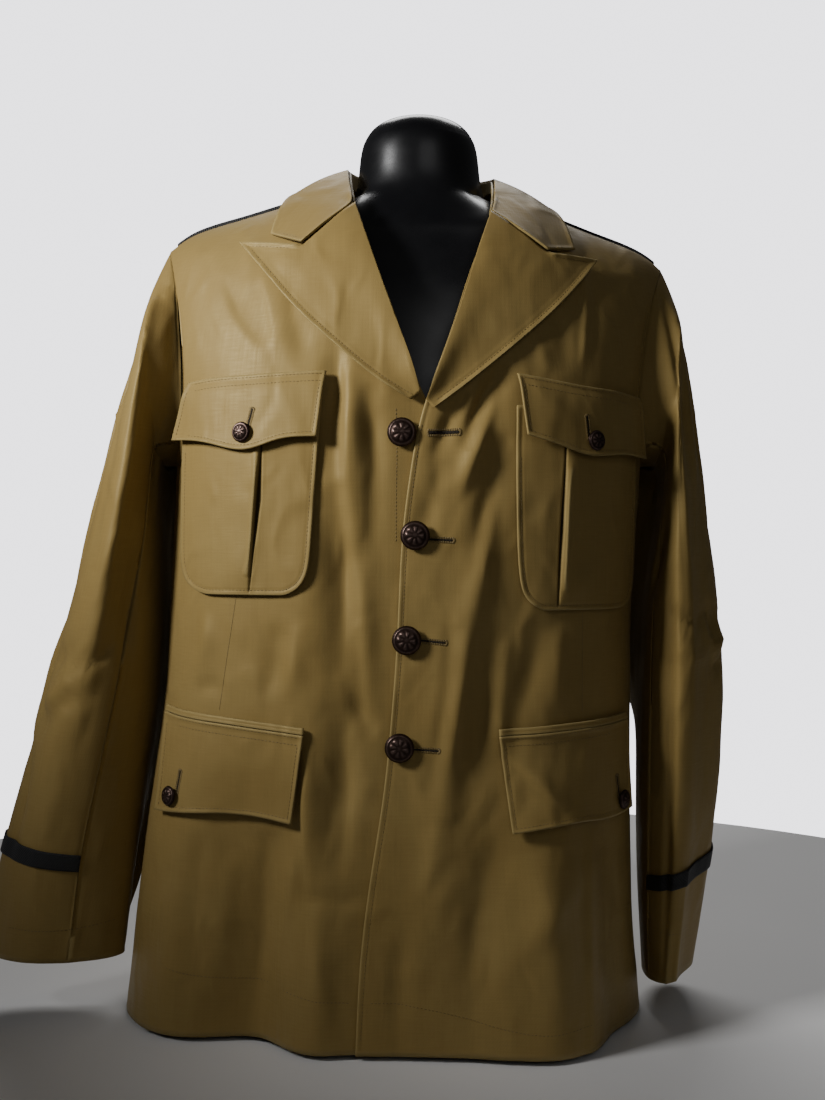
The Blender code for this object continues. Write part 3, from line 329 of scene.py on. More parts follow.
def lay_weave(piece, across, along):
    """A UV map in metres, so that the twill follows the cut of the cloth."""
    layer = piece.data.uv_layers.new(name="weave")
    order = np.empty(len(piece.data.loops), np.int32)
    piece.data.loops.foreach_get("vertex_index", order)
    both = np.stack([across, along], axis=1)[order]
    layer.data.foreach_set("uv", both.ravel())


def body_round(rows, behind):
    """The distance round the body from the middle of the front or the back."""
    x = rows[:, 0] / BODY_HALF_WIDTH
    y = rows[:, 1] / BODY_HALF_DEPTH * (1 if behind else -1)
    return np.arctan2(x, y) * BODY_RADIUS


def blend(tree, share, first, second):
    """Two colours mixed by a value."""
    made = add_node(tree, "ShaderNodeMixRGB", {"Fac": share, "Color1": first, "Color2": second})
    return made.outputs["Color"]


def combine(tree, operation, first, second):
    """Two values added or multiplied."""
    made = add_node(tree, "ShaderNodeMath", {0: first, 1: second}, operation=operation)
    return made.outputs["Value"]


def stretch(tree, vector, **settings):
    """Places turned or scaled before a pattern is laid on them."""
    inputs = {name.title(): value for name, value in settings.items()}
    return add_node(tree, "ShaderNodeMapping", {"Vector": vector, **inputs}).outputs["Vector"]


# Cotton gabardine: a steep, close twill with a soft sheen. Real twill lines are 0.5 mm
# apart; here they are 1.5 mm, so that they show. Slubs are 2 by 40 mm.
khaki, tree = new_material("khaki cotton gabardine")
weave = add_node(tree, "ShaderNodeUVMap", uv_map="weave").outputs["UV"]
place = add_node(tree, "ShaderNodeTexCoord").outputs["Object"]
twill = add_node(tree, "ShaderNodeTexWave", {
    "Vector": stretch(tree, weave, rotation=(0.0, 0.0, math.radians(27))), "Scale": 210.0,
    "Distortion": 1.6, "Detail": 2.0, "Detail Scale": 2.0}, wave_type="BANDS", bands_direction="X")
slub = noise_value(tree, stretch(tree, weave, scale=(520.0, 24.0, 1.0)), 1.0, 3.0)
weft = noise_value(tree, stretch(tree, weave, scale=(60.0, 640.0, 1.0)), 1.0, 2.0)
lines = combine(tree, "MULTIPLY", twill.outputs["Fac"], 0.22)
grain = combine(tree, "ADD", combine(tree, "ADD", slub, weft), lines)
# The dye has faded in clouds 110 mm across, and lies deeper between the threads.
faded = remap(tree, noise_value(tree, place, 9.0, 4.0), 0.3, 0.7, 0.0, 1.0)
ground = blend(tree, faded, linear("#8A7342"), linear("#917B4A"))
toned = blend(tree, remap(tree, grain, 0.75, 1.5, 0.0, 0.2), ground, linear("#66512C"))
# Edges are rubbed pale; deep inside a pleat the cloth is painted near black, as painted shade for the
# gap between the folded edges.
rubbed = add_node(tree, "ShaderNodeAttribute", attribute_name="wear").outputs["Fac"]
hidden = add_node(tree, "ShaderNodeAttribute", attribute_name="inside").outputs["Fac"]
worn = blend(tree, hidden, blend(tree, rubbed, toned, linear("#A08F60")), linear("#221A0C"))
# Wear has set small creases in the cloth, 15 to 50 mm apart and up to 2 mm deep.
creases = add_node(tree, "ShaderNodeTexNoise", {
    "Vector": stretch(tree, place, rotation=(0.0, 0.45, 0.3), scale=(32.0, 32.0, 20.0)),
    "Scale": 1.0, "Detail": 2.5, "Distortion": 0.6}, noise_type="RIDGED_MULTIFRACTAL")
crumple = relief(tree, creases.outputs["Fac"], 0.7, 0.003)
surface(tree, {
    "Base Color": worn, "Roughness": remap(tree, grain, 0.7, 1.7, 0.44, 0.6), "IOR": 1.53,
    "Sheen Weight": 0.06, "Sheen Roughness": 0.45, "Sheen Tint": linear("#E0D2A8"),
    "Specular IOR Level": 0.42, "Specular Tint": linear("#DFCB97"),
    "Normal": relief(tree, grain, 0.22, 0.0004, Normal=crumple)})


def rim_marks(piece):
    """Which vertices lie on the piece's cut edges."""
    mesh = piece.data
    rim = np.zeros(len(mesh.edges), np.float32)
    mesh.attributes["crease_edge"].data.foreach_get("value", rim)
    ends = np.empty(len(mesh.edges) * 2, np.int32)
    mesh.edges.foreach_get("vertices", ends)
    return np.unique(ends.reshape(-1, 2)[rim > 0.3])


def edge_places(piece):
    """The places on the piece's cut edges, ready to be searched."""
    rows = places(piece)[rim_marks(piece)]
    found = KDTree(len(rows))
    for i, row in enumerate(rows):
        found.insert(Vector(row), i)
    found.balance()
    return found


def edge_distance(piece):
    """How far each vertex is from the piece's nearest cut edge."""
    edges = edge_places(piece)
    return np.array([edges.find(Vector(row))[2] for row in places(piece)])


def outer_skin(piece, out):
    """1 on the skin that is seen, 0 on the one against the body."""
    facing = np.empty(len(piece.data.vertices) * 3)
    piece.data.vertex_normals.foreach_get("vector", facing)
    return ease((facing.reshape(-1, 3) * out).sum(axis=1), 0.0, 0.6)


# Across an edge: how high or deep each feature is, how far in, and how wide.
Feature = namedtuple("Feature", "height inset width")
SEAM_DIP = Feature(-0.001, 0.0, 0.0024)
EDGE_RIDGE = Feature(0.0003, 0.0016, 0.0014)
SEWN_CHANNEL = Feature(-0.00035, 0.0042, 0.0012)
CURL_REACH = 0.01


def across_edge(far, feature):
    """The height of one feature at these distances from the edge."""
    return feature.height * np.exp(-((far - feature.inset) / feature.width) ** 2)


def press_edges(piece, out, seams, free, curl=0.0):
    """Sinks the cloth at its seams, and gives its free edges a ridge, a sewn channel and a curl."""
    far = edge_distance(piece)
    skin = outer_skin(piece, out)
    lift = seams * across_edge(far, SEAM_DIP)
    lift += free * (across_edge(far, EDGE_RIDGE) + across_edge(far, SEWN_CHANNEL))
    both = free * curl * np.clip(1 - far / CURL_REACH, 0, 1) ** 2
    put_back(piece, places(piece) + out * (lift * skin + both)[:, None])


def add_wear(piece, free=1.0):
    """Rubs the cloth lighter along its free edges."""
    wear = piece.data.attributes.new("wear", "FLOAT", "POINT")
    rubbed = 0.5 * free * np.exp(-(edge_distance(piece) / 0.0016) ** 2)
    wear.data.foreach_set("value", rubbed.astype(np.float32))


back = smooth_copy("back", "jacket_back", 3)
rows = places(back)
seams = ease(rows[:, 2], *HEM)
free = 1 - seams
press_edges(back, body_outward(rows), seams * (1 - ease(rows[:, 2], *SHOULDER)), free)
fold_body(back, BACK_FOLDS, BACK_RUMPLE, 2.0)
add_wear(back, free)
lay_weave(back, body_round(places(back), True), places(back)[:, 2])
finish_piece(back, khaki, "khaki_twill", "back")


# ---- seams and thread
# Long seams are closed by machine, and edges are held flat by rows of khaki cotton
# thread, 3 mm to a stitch. Each row is laid on the finished cloth.

STITCH_PITCH = 0.0032
# A stitch's length, width and height; along a closed seam they run into one another, in a dark line that
# is partly painted shade of the seam.
STITCH = (0.0025, 0.00062, 0.0005)
SEAM_PITCH = 0.0024
BACK_SEAM_STITCH = (0.0034, 0.0005, 0.0003)
DART_STITCH = (0.0034, 0.0006, 0.0003)

# Cotton sewing thread, 0.4 mm thick and drawn at 0.6 mm; its twist shows as fine bands. Its darker tone
# is partly the thread's own and partly painted shade of the groove that the stitches sink into.
thread, tree = new_material("khaki cotton thread")
place = add_node(tree, "ShaderNodeTexCoord").outputs["Object"]
twist = noise_value(tree, place, 1400.0, 2.0)
surface(tree, {
    "Base Color": blend(tree, twist, linear("#5F4D26"), linear("#857040")),
    "Roughness": 0.6, "IOR": 1.53, "Normal": relief(tree, twist, 0.3, 0.0003)})

# One stitch or bead, modelled once: an egg of unit size with its length upright.
bpy.ops.object.select_all(action="DESELECT")
bpy.ops.mesh.primitive_uv_sphere_add(segments=6, ring_count=4, radius=0.5, location=(0, 0, 0))
bead = bpy.context.object
bead_places = places(bead)
bead_faces = [tuple(face.vertices) for face in bead.data.polygons]
bpy.data.objects.remove(bead)

Spot = namedtuple("Spot", "place along out length width height")


def strew(name, spots, material):
    """One piece of many stitches or beads, each lying along its line on the cloth."""
    rows = []
    faces = []
    for i, spot in enumerate(spots):
        along = spot.along.normalized()
        out = (spot.out - along * spot.out.dot(along)).normalized()
        across = out.cross(along)
        turn = np.array([across * spot.width, out * spot.height, along * spot.length])
        rows.append(bead_places @ turn + np.array(spot.place))
        faces += [tuple(v + i * len(bead_places) for v in face) for face in bead_faces]
    mesh = bpy.data.meshes.new(name)
    mesh.from_pydata(np.concatenate(rows).tolist(), [], faces)
    mesh.update()
    piece = bpy.data.objects.new(name, mesh)
    bpy.context.scene.collection.objects.link(piece)
    select_only(piece)
    bpy.ops.object.shade_smooth()
    return finish_piece(piece, material, "khaki_twill")


def surface_tree(*pieces):
    """The skins of these pieces, to lay stitches on."""
    rows = []
    faces = []
    for piece in pieces:
        start = len(rows)
        rows += [v.co.copy() for v in piece.data.vertices]
        faces += [[v + start for v in face.vertices] for face in piece.data.polygons]
    return BVHTree.FromPolygons(rows, faces)


def spread(line, pitch):
    """Points one pitch apart along a line of x, z points, rounded where it turns."""
    line = np.array(line, float)
    if len(line) > 2:
        for _ in range(2):
            quarter = line[:-1] * 0.75 + line[1:] * 0.25
            three = line[:-1] * 0.25 + line[1:] * 0.75
            middle = np.stack([quarter, three], axis=1).reshape(-1, 2)
            line = np.concatenate([line[:1], middle[1:-1], line[-1:]])
    steps = np.hypot(*np.diff(line, axis=0).T)
    run = np.concatenate([[0], np.cumsum(steps)])
    marks = np.arange(pitch / 2, run[-1], pitch)
    return np.stack([np.interp(marks, run, line[:, 0]), np.interp(marks, run, line[:, 1])], axis=1)


def on_cloth(points, skins, behind=False):
    """Where each x, z point meets the cloth, seen from the front or the back."""
    way = Vector((0, -1, 0)) if behind else Vector((0, 1, 0))
    found = []
    for x, z in points:
        hit, normal, _, _ = skins.ray_cast(Vector((x, 0, z)) - way * 0.4, way)
        if hit:
            found.append((hit, normal if normal.dot(way) < 0 else -normal))
    return found


def sew(name, lines, skins, behind=False, stitch=STITCH):
    """Rows of stitches along these lines, sunk by a third into the cloth."""
    sunk = 0.2 * stitch[2]
    spots = []
    for line in lines:
        found = on_cloth(line, skins, behind)
        for before, here, after in zip(found, found[1:], found[2:]):
            along = after[0] - before[0]
            if along.length < 3.0 * STITCH_PITCH:
                spots.append(Spot(here[0] + here[1] * sunk, along, here[1], *stitch))
    return strew(name, spots, thread)


# The seam down the middle of the back, pressed open, and the row above its hem.
BACK_SEAM = [(-0.009, 0.735), (-0.012, 0.6), (-0.016, 0.42), (-0.02, 0.25), (-0.024, 0.09),
             (-0.026, 0.03)]
BACK_HEM = [(-0.24, 0.06), (-0.15, 0.046), (-0.03, 0.044), (0.08, 0.044), (0.18, 0.056)]
back_skin = surface_tree(back)
sew("seam_back", [spread(BACK_SEAM, SEAM_PITCH)], back_skin, True, BACK_SEAM_STITCH)
sew("stitching_back_hem", [spread(BACK_HEM, STITCH_PITCH)], back_skin, True)


# ---- right and left front
# One piece of gabardine each, with a long dart from the breast pocket to the waist. The
# wearer's left front closes over the right one and falls open below the last button.

RIGHT_FOLDS = fold_rows([
    (-170, 668, -154, 628, -128, 600, 7.5, -1.2, 0.5),
    (-164, 640, -146, 606, -124, 590, 10, 0.9, 0),
    (-136, 668, -124, 625, -119, 578, 8.5, 1.4, 0.5),
    (-112, 650, -104, 615, -98, 585, 9, -1.3, 0.3),
    (-72, 605, -68, 560, -73, 480, 7, -2.6, -0.2),
    (-62, 584, -58, 525, -61, 417, 8, 3, 0.3),
    (-44, 563, -39, 508, -39, 417, 7, -2.6, 0.2),
    (-67, 483, -64, 408, -66, 316, 8, -4, -0.3),
    (-47, 417, -44, 350, -39, 283, 6, 2.2, 0.2),
    (-56, 308, -47, 287, -36, 271, 5, -2.4, 0),
    (-99, 366, -104, 333, -107, 300, 6, 1.8, 0.2),
    (-119, 362, -122, 333, -126, 300, 7, -1.6, 0),
    (-183, 371, -186, 342, -193, 308, 5, 1.6, 0.3),
    (-194, 300, -178, 308, -161, 300, 4, -1.2, 0),
    (-66, 300, -62, 233, -70, 150, 9.5, -3.8, -0.2),
    (-89, 266, -94, 216, -89, 133, 7, 3.4, 0.4),
    (-89, 133, -84, 83, -83, -1, 8, 2.6, 0.2),
    (-102, 190, -104, 160, -112, 120, 6, 1.6, 0),
    (-100, 141, -68, 132, -40, 139, 4, -0.9, 0),
    (-126, 191, -131, 133, -141, 16, 9, -3, 0.2),
    (-158, 166, -164, 116, -170, 41, 9, 1.8, 0),
    (-191, 183, -194, 133, -201, 41, 8, -1.8, 0),
    (-164, 103, -145, 91, -131, 70, 4, -1, 0),
])
LEFT_FOLDS = fold_rows([
    (72, 582, 54, 550, 38, 508, 7, -4.2, 0.3),
    (65, 563, 48, 508, 31, 467, 6, 3.6, -0.2),
    (75, 525, 58, 467, 43, 392, 8, -3, 0.2),
    (70, 492, 54, 417, 44, 333, 8, 3, -0.2),
    (18, 500, 11, 467, -1, 433, 7, -1.8, 0),
    (43, 554, 26, 534, 11, 492, 6, -2.4, 0.2),
    (143, 672, 144, 634, 141, 584, 5, 1.9, 0.5),
    (152, 668, 154, 625, 149, 585, 6, -1, -0.3),
    (118, 634, 123, 609, 130, 575, 6, -1.2, 0),
    (101, 609, 105, 592, 111, 574, 5, 1, 0),
    (39, 383, 33, 308, 18, 225, 9, 3.4, -0.3),
    (26, 375, 24, 308, 8, 216, 7, -2.4, 0.2),
    (59, 366, 50, 283, 28, 174, 10, -3.4, 0.2),
    (72, 350, 68, 283, 68, 250, 6, 2, 0),
    (101, 366, 93, 316, 80, 279, 8, -2, 0),
    (120, 362, 118, 325, 115, 287, 6, 1.4, 0),
    (22, 240, 12, 160, -6, 60, 10, 2.2, 0.3),
    (40, 170, 10, 140, 2, 70, 8, -1.4, 0.2),
    (68, 183, 51, 116, 43, -1, 12, -2.6, 0.2),
    (101, 174, 108, 116, 115, -1, 12, 3, 0),
    (147, 186, 146, 108, 145, -20, 6.5, 3, 0.4),
    (168, 190, 170, 108, 172, -20, 10, -4, 0),
    (-14, 108, -17, 58, -19, -1, 7, -1.6, 0),
    (60, 60, 100, 110, 150, 160, 9, 1.6, 0.2),
])

# The free edge of the left front: heights, and x there.
LEFT_EDGE = [(0.014, -0.0525), (0.086, -0.0483), (0.152, -0.04), (0.218, -0.029), (0.284, -0.0225),
             (0.35, -0.0177), (0.4, -0.0158), (0.45, -0.0125), (0.509, -0.005), (0.533, -0.001)]

# How uneven the cloth of the fronts, the sleeves and their patches lies.
RUMPLE = 0.0007


def make_front(node, name, folds, *lap):
    """One front with its folds; lap is the folds and the free edge of the front over it."""
    piece = smooth_copy(node, name, 3)
    rows = places(piece)
    seams = ease(rows[:, 2], *HEM) * ease(abs(rows[:, 0]), 0.1, 0.12)
    free = (1 - seams) * (1 - ease(rows[:, 2], 0.56, 0.6))
    press_edges(piece, body_outward(rows), seams * (1 - ease(rows[:, 2], *SHOULDER)), free)
    fold_body(piece, folds, RUMPLE, 3.0, *lap)
    add_wear(piece, free)
    rows = places(piece)
    lay_weave(piece, body_round(rows, False), rows[:, 2])
    return finish_piece(piece, khaki, "khaki_twill", node)


front_right = make_front("front_right", "jacket_front_right", RIGHT_FOLDS, LEFT_FOLDS, LEFT_EDGE)
front_left = make_front("front_left", "jacket_front_left", LEFT_FOLDS)


# ---- sleeves
# Two-piece sleeves of the same gabardine: a top sleeve and a narrow under sleeve, sewn
# along the arm at front and back, and eased into the armhole at the head.

# The middle of each sleeve at five heights, and how far round it one radian reaches.
SLEEVE_HEIGHTS = [0.03, 0.2, 0.36, 0.5, 0.7]
RIGHT_SLEEVE_X = [-0.335, -0.316, -0.288, -0.262, -0.236]
RIGHT_SLEEVE_Y = [-0.025, -0.017, -0.006, -0.002, 0.0]
LEFT_SLEEVE_X = [0.238, 0.245, 0.248, 0.238, 0.222]
LEFT_SLEEVE_Y = [0.005, 0.002, 0.004, 0.001, 0.0]
SLEEVE_RADIUS = 0.062
SLEEVE_FOLD_GAIN = 1.5
# Down to which height each sleeve, left (1) and right (-1), hangs against the body, and how
# far from it the middle of the sleeve's cloth and of its braid stay.
TUCK_LOW = {-1: -0.1, 1: 0.22}
SLEEVE_GAP = 0.007
BRAID_GAP = 0.0058
# Cut edges nearer than this to the next panel's are drawn up to them.
SEAM_REACH = 0.0045

# Folds of a sleeve: x is the distance round the arm from its outer side, towards the
# front below 0 and towards the back above it.
RIGHT_SLEEVE_FOLDS = fold_rows([
    (-20, 650, -12, 520, -16, 380, 7, 2.8, 0.3),
    (-40, 640, -36, 540, -48, 440, 8, -3, 0.2),
    (-16, 370, -10, 300, -20, 250, 7, 2.2, 0.2),
    (-85, 560, -66, 585, -40, 590, 5, -2.2, 0.2),
    (-92, 530, -70, 548, -50, 545, 5, 1.8, 0),
    (-90, 345, -60, 325, -30, 338, 6, -2.6, 0.2),
    (-90, 310, -64, 295, -36, 300, 6, 2.2, 0),
    (-84, 285, -50, 268, -16, 285, 6, -2.2, 0),
    (10, 350, 40, 330, 70, 342, 6, 1.8, 0),
    (20, 310, 50, 300, 80, 316, 6, -2.4, 0.2),
    (30, 270, 60, 262, 88, 275, 6, 1.8, 0),
    (40, 620, 46, 520, 36, 420, 9, -2.6, 0.2),
    (70, 600, 76, 500, 66, 400, 8, 2.4, 0),
    (100, 500, 106, 400, 98, 300, 9, -2.8, 0.2),
    (-30, 250, -36, 190, -30, 140, 7, -1.6, 0),
    (60, 250, 56, 180, 60, 120, 8, 1.8, 0),
    (150, 480, 160, 420, 150, 360, 8, -2, 0),
    (-98, 670, -101, 500, -105, 270, 7, 2.8, 0.3),
    (-82, 640, -84, 520, -92, 400, 6, -1.6, 0),
    (-130, 670, -134, 570, -128, 450, 9, -3.4, 0.2),
    (-118, 430, -124, 370, -136, 310, 7, -2.2, 0),
    (-120, 345, -96, 322, -70, 332, 4, -2.2, 0.2),
    (-112, 300, -90, 292, -66, 305, 4, -1.8, 0),
])
LEFT_SLEEVE_FOLDS = fold_rows([
    (-115, 430, -116, 240, -115, 0, 2.6, -1.8, 0),
    (-102, 660, -96, 560, -105, 475, 4.5, -3, 0.3),
    (-104, 490, -122, 430, -144, 372, 4.5, -3.2, 0.2),
    (-88, 655, -82, 560, -88, 450, 6, 2.4, 0),
    (-118, 378, -100, 360, -80, 374, 4, -2.4, 0.2),
    (-80, 374, -68, 352, -50, 362, 4, -2.2, 0),
    (-112, 340, -96, 330, -76, 342, 4, 2, 0),
    (-52, 660, -50, 560, -56, 450, 6, 2.4, 0.2),
    (-36, 640, -34, 540, -40, 440, 7, -2.6, 0.2),
    (-88, 375, -64, 362, -44, 374, 5, -2.6, 0.2),
    (-44, 374, -30, 356, -10, 360, 5, -2.2, 0),
    (-86, 352, -60, 340, -30, 352, 5, 2, 0),
    (-80, 325, -56, 318, -30, 332, 5, -2.2, 0),
    (-10, 350, 30, 335, 66, 348, 6, -2.4, 0.2),
    (0, 315, 36, 306, 70, 322, 6, 2, 0),
    (6, 285, 40, 278, 80, 292, 6, -2, 0),
    (0, 640, 6, 540, -2, 440, 9, 2.2, 0),
    (40, 610, 46, 510, 36, 410, 9, -2.6, 0.2),
    (80, 580, 86, 480, 76, 390, 8, 2.2, 0),
    (-20, 280, -24, 210, -18, 150, 7, -1.8, 0),
    (50, 250, 46, 180, 50, 120, 8, 1.8, 0),
    (130, 500, 136, 420, 128, 340, 8, -2.4, 0),
])


def sleeve_flat(rows, middle_x, middle_y, outer):
    """How far round the arm and how high each place is, and the way out of the sleeve there."""
    x = (rows[:, 0] - np.interp(rows[:, 2], SLEEVE_HEIGHTS, middle_x)) * outer
    y = rows[:, 1] - np.interp(rows[:, 2], SLEEVE_HEIGHTS, middle_y)
    turn = np.arctan2(y, x)
    out = np.stack([x * outer, y, np.zeros(len(x))], axis=1)
    out /= np.linalg.norm(out, axis=1)[:, None]
    return np.stack([turn * SLEEVE_RADIUS, rows[:, 2]], axis=1), out


def tuck_behind(rows, out, outer, gap):
    """Lets the back of the sleeve's inner side hang close against the body."""
    low = TUCK_LOW[outer]
    body = surface_tree(back, front_right, front_left)
    share = ease(rows[:, 1], -0.012, 0.022) * ease(-out[:, 0] * outer, -0.15, 0.5)
    share *= ease(rows[:, 2], low, low + 0.12) * (1 - ease(rows[:, 2], 0.5, 0.58))
    moved = rows.copy()
    for i in np.flatnonzero(share > 0.001):
        hit, _, _, far = body.ray_cast(Vector(rows[i]), Vector((-outer, 0, 0)))
        if hit and far < 0.08:
            moved[i, 0] -= outer * share[i] * max(far - gap, 0)
    return moved


def sleeve_lift(flat, folds):
    """How far folds and unevenness move a sleeve's cloth."""
    return SLEEVE_FOLD_GAIN * fold_height(flat, folds) + rumple(flat, RUMPLE, 7.0)


def make_sleeve(node, name, folds, middle_x, middle_y, outer):
    """One sleeve panel with its folds, elbow creases and weave."""
    piece = smooth_copy(node, name, 3)
    rows = places(piece)
    _, out = sleeve_flat(rows, middle_x, middle_y, outer)
    seams = ease(rows[:, 2], 0.075, 0.09)
    press_edges(piece, out, seams, 1 - seams)
    rows = tuck_behind(places(piece), out, outer, SLEEVE_GAP)
    flat, out = sleeve_flat(rows, middle_x, middle_y, outer)
    # The folds run out towards the cuff.
    lift = sleeve_lift(flat, folds) * np.clip((rows[:, 2] - 0.02) / 0.05, 0, 1)
    put_back(piece, rows + out * lift[:, None])
    add_wear(piece, 1 - seams)
    lay_weave(piece, flat[:, 0], flat[:, 1])
    return finish_piece(piece, khaki, "khaki_twill", node)


def close_seam(piece, neighbour):
    """Draws the panel's cut edges up to its neighbour's, as the seam between them does."""
    rows = places(piece)
    edges = edge_places(neighbour)
    for mark in rim_marks(piece):
        found, _, far = edges.find(Vector(rows[mark]))
        if far < SEAM_REACH:
            rows[mark] += 0.9 * (np.array(found) - rows[mark])
    put_back(piece, rows)


SLEEVES = (
    ("right", RIGHT_SLEEVE_FOLDS, RIGHT_SLEEVE_X, RIGHT_SLEEVE_Y, -1),
    ("left", LEFT_SLEEVE_FOLDS, LEFT_SLEEVE_X, LEFT_SLEEVE_Y, 1),
)
sleeves = []
for side, *shape in SLEEVES:
    for part in ("top", "under"):
        sleeves.append(make_sleeve(f"{part}_sleeve_{side}", f"sleeve_{part}_{side}", *shape))
close_seam(sleeves[1], sleeves[0])
close_seam(sleeves[3], sleeves[2])


# ---- cuff braid
# A 16 mm band of black mohair braid, woven in a flat herringbone, sewn round each
# sleeve above the cuff.

black_braid, tree = new_material("black mohair braid")
weave = add_node(tree, "ShaderNodeUVMap", uv_map="weave").outputs["UV"]
# The herringbone's ribs are 2 mm apart, drawn twice as coarse as the real ones.
ribs = add_node(tree, "ShaderNodeTexWave", {
    "Vector": weave, "Scale": 220.0, "Distortion": 2.0, "Detail": 2.0, "Detail Scale": 1.0},
    wave_type="BANDS", bands_direction="DIAGONAL")
raised = combine(tree, "ADD", ribs.outputs["Fac"], noise_value(tree, weave, 900.0, 3.0))
lit = remap(tree, raised, 0.5, 1.6, 0.0, 1.0)
surface(tree, {
    "Base Color": blend(tree, lit, linear("#060607"), linear("#121214")), "Roughness": 0.72,
    "IOR": 1.53, "Sheen Weight": 0.05, "Sheen Roughness": 0.4,
    "Normal": relief(tree, raised, 0.6, 0.0006)})

for side, folds, middle_x, middle_y, outer in SLEEVES:
    braid = smooth_copy("cuff_braid_" + side, "braid_" + side, 3)
    _, out = sleeve_flat(places(braid), middle_x, middle_y, outer)
    rows = tuck_behind(places(braid), out, outer, BRAID_GAP)
    flat, out = sleeve_flat(rows, middle_x, middle_y, outer)
    lift = sleeve_lift(flat, folds) + 0.0005
    put_back(braid, rows + out * lift[:, None])
    lay_weave(braid, flat[:, 0], flat[:, 1])
    finish_piece(braid, black_braid, "black_braid", "cuff_braid_" + side)


# ---- shoulder piping
# A black cord covered in the same braid, sewn into each shoulder seam.

FLANGE_DROP = 0.004

for side in ("right", "left"):
    piping = smooth_copy("shoulder_piping_" + side, "piping_" + side, 2, 0.0)
    rows = places(piping)
    # The flange under the cord goes down into the seam.
    rows[:, 2] -= FLANGE_DROP * outer_skin(piping, np.array([0.0, 0.0, -1.0]))
    put_back(piping, rows)
    lay_weave(piping, rows[:, 0] * 1.5, rows[:, 1] * 3)
    finish_piece(piping, black_braid, "black_braid", "shoulder_piping_" + side)


# ---- collar
# A folded collar of two layers of gabardine: a stand round the neck, hidden by the
# leaf that falls over it and ends in a notch against each lapel.

NECK_RADIUS = 0.085

def neck_round(rows):
    """The distance round the neck from its front."""
    return np.arctan2(rows[:, 0], -rows[:, 1]) * NECK_RADIUS


collar_stand = smooth_copy("collar_stand", "collar_inner_stand", 3)
add_wear(collar_stand)
lay_weave(collar_stand, neck_round(places(collar_stand)), places(collar_stand)[:, 2])
finish_piece(collar_stand, khaki, "khaki_twill", "collar_stand")

collar_leaf = smooth_copy("collar_leaf", "collar_outer_leaf", 3)
rows = places(collar_leaf)
out = rows * [1.0, 1.0, 0.0] / np.hypot(rows[:, 0], rows[:, 1])[:, None]
free = ease(np.hypot(rows[:, 0], rows[:, 1]), NECK_RADIUS + 0.001, NECK_RADIUS + 0.011)
press_edges(collar_leaf, out, np.zeros(len(rows)), free, 0.0012)
add_wear(collar_leaf, free)
lay_weave(collar_leaf, neck_round(places(collar_leaf)), places(collar_leaf)[:, 2])
finish_piece(collar_leaf, khaki, "khaki_twill", "collar_leaf")


# ---- lapels
# The tops of the fronts, faced with a second layer of gabardine, rolled open and
# pressed flat. A notch parts each one from the collar.

# Where each lapel rolls: heights, and how far from the middle.
ROLL_HEIGHTS = [0.55, 0.576, 0.604, 0.646, 0.688, 0.724]
RIGHT_ROLL = [0.000, 0.004, 0.014, 0.029, 0.043, 0.0545]
LEFT_ROLL = [0.006, 0.017, 0.026, 0.04, 0.0525, 0.064]
# How high a pleat's folded edges stand, and how deep the gap between them is.
PLEAT_EDGE = 0.001
PLEAT_DEPTH = 0.0009


def open_pleat(rows, pleat):
    """Two folded edges and the dark gap between them, and the gap's mask, which also paints its shade;
    pleat has rows of z, left x, right x.
    """
    heights, lefts, rights = np.array(pleat)[::-1].T
    left = np.interp(rows[:, 2], heights, lefts)
    right = np.interp(rows[:, 2], heights, rights)
    middle = (left + right) / 2
    half = np.maximum((right - left) / 2, 0.0004)
    far = abs(rows[:, 0] - middle) - half
    end = ease(rows[:, 2], heights[0], heights[0] + 0.004)
    edge = PLEAT_EDGE * np.exp(-np.maximum(far, 0) / 0.016) * ease(far, -0.0012, 0.0012)
    # The gap's mask sinks its floor and is also kept to paint the gap near black, as painted shade.
    gap_sink_and_shade = 1 - ease(far, -0.0012, 0.0004)
    return end * (edge - PLEAT_DEPTH * gap_sink_and_shade), end * gap_sink_and_shade


def add_patch(node, name, folds, lift, curl=0.0, pleat=(), free=None, amount=RUMPLE):
    """A piece of cloth that lies on the fronts, lifted off them, and takes their folds."""
    piece = smooth_copy(node, name, 3)
    rows = places(piece)
    edges = np.ones(len(rows)) if free is None else free(rows)
    press_edges(piece, body_outward(rows), np.zeros(len(rows)), edges, curl)
    rows = places(piece)
    if len(pleat):
        opened, gap_sink_and_shade = open_pleat(rows, pleat)
        skin = outer_skin(piece, body_outward(rows))
        rows += body_outward(rows) * (opened * skin)[:, None]
        # This attribute paints the pleat's gap near black in the cloth: painted shade.
        inside = piece.data.attributes.new("inside", "FLOAT", "POINT")
        inside.data.foreach_set("value", (gap_sink_and_shade * skin).astype(np.float32))
    flat = rows[:, [0, 2]]
    height = fold_height(flat, folds) + rumple(flat, amount, 3.0) + lift
    put_back(piece, rows + body_outward(rows) * height[:, None])
    add_wear(piece, edges)
    lay_weave(piece, rows[:, 0], rows[:, 2])
    return finish_piece(piece, khaki, "khaki_twill", node)


def free_of_roll(roll, side, gorge_z, gorge_x):
    """Picks the outer edges of a lapel, not its roll nor the seam to the collar."""
    def pick(rows):
        away = rows[:, 0] * side - np.interp(rows[:, 2], ROLL_HEIGHTS, roll)
        seam = ease(rows[:, 2], gorge_z - 0.01, gorge_z)
        seam *= 1 - ease(rows[:, 0] * side, gorge_x, gorge_x + 0.008)
        return ease(away, 0.008, 0.018) * (1 - seam)
    return pick


lapel_right = add_patch("lapel_right", "lapel_roll_right", [], 0.0006, 0.002,
                        free=free_of_roll(RIGHT_ROLL, -1, 0.682, 0.1), amount=0.0006)
lapel_left = add_patch("lapel_left", "lapel_roll_left", [], 0.0006, 0.002,
                       free=free_of_roll(LEFT_ROLL, 1, 0.674, 0.11), amount=0.0006)


# ---- breast pockets
# Patch pockets with one pleat down the middle, turned in and top-stitched to the
# fronts on three sides, under a pointed flap sewn on above with two rows.

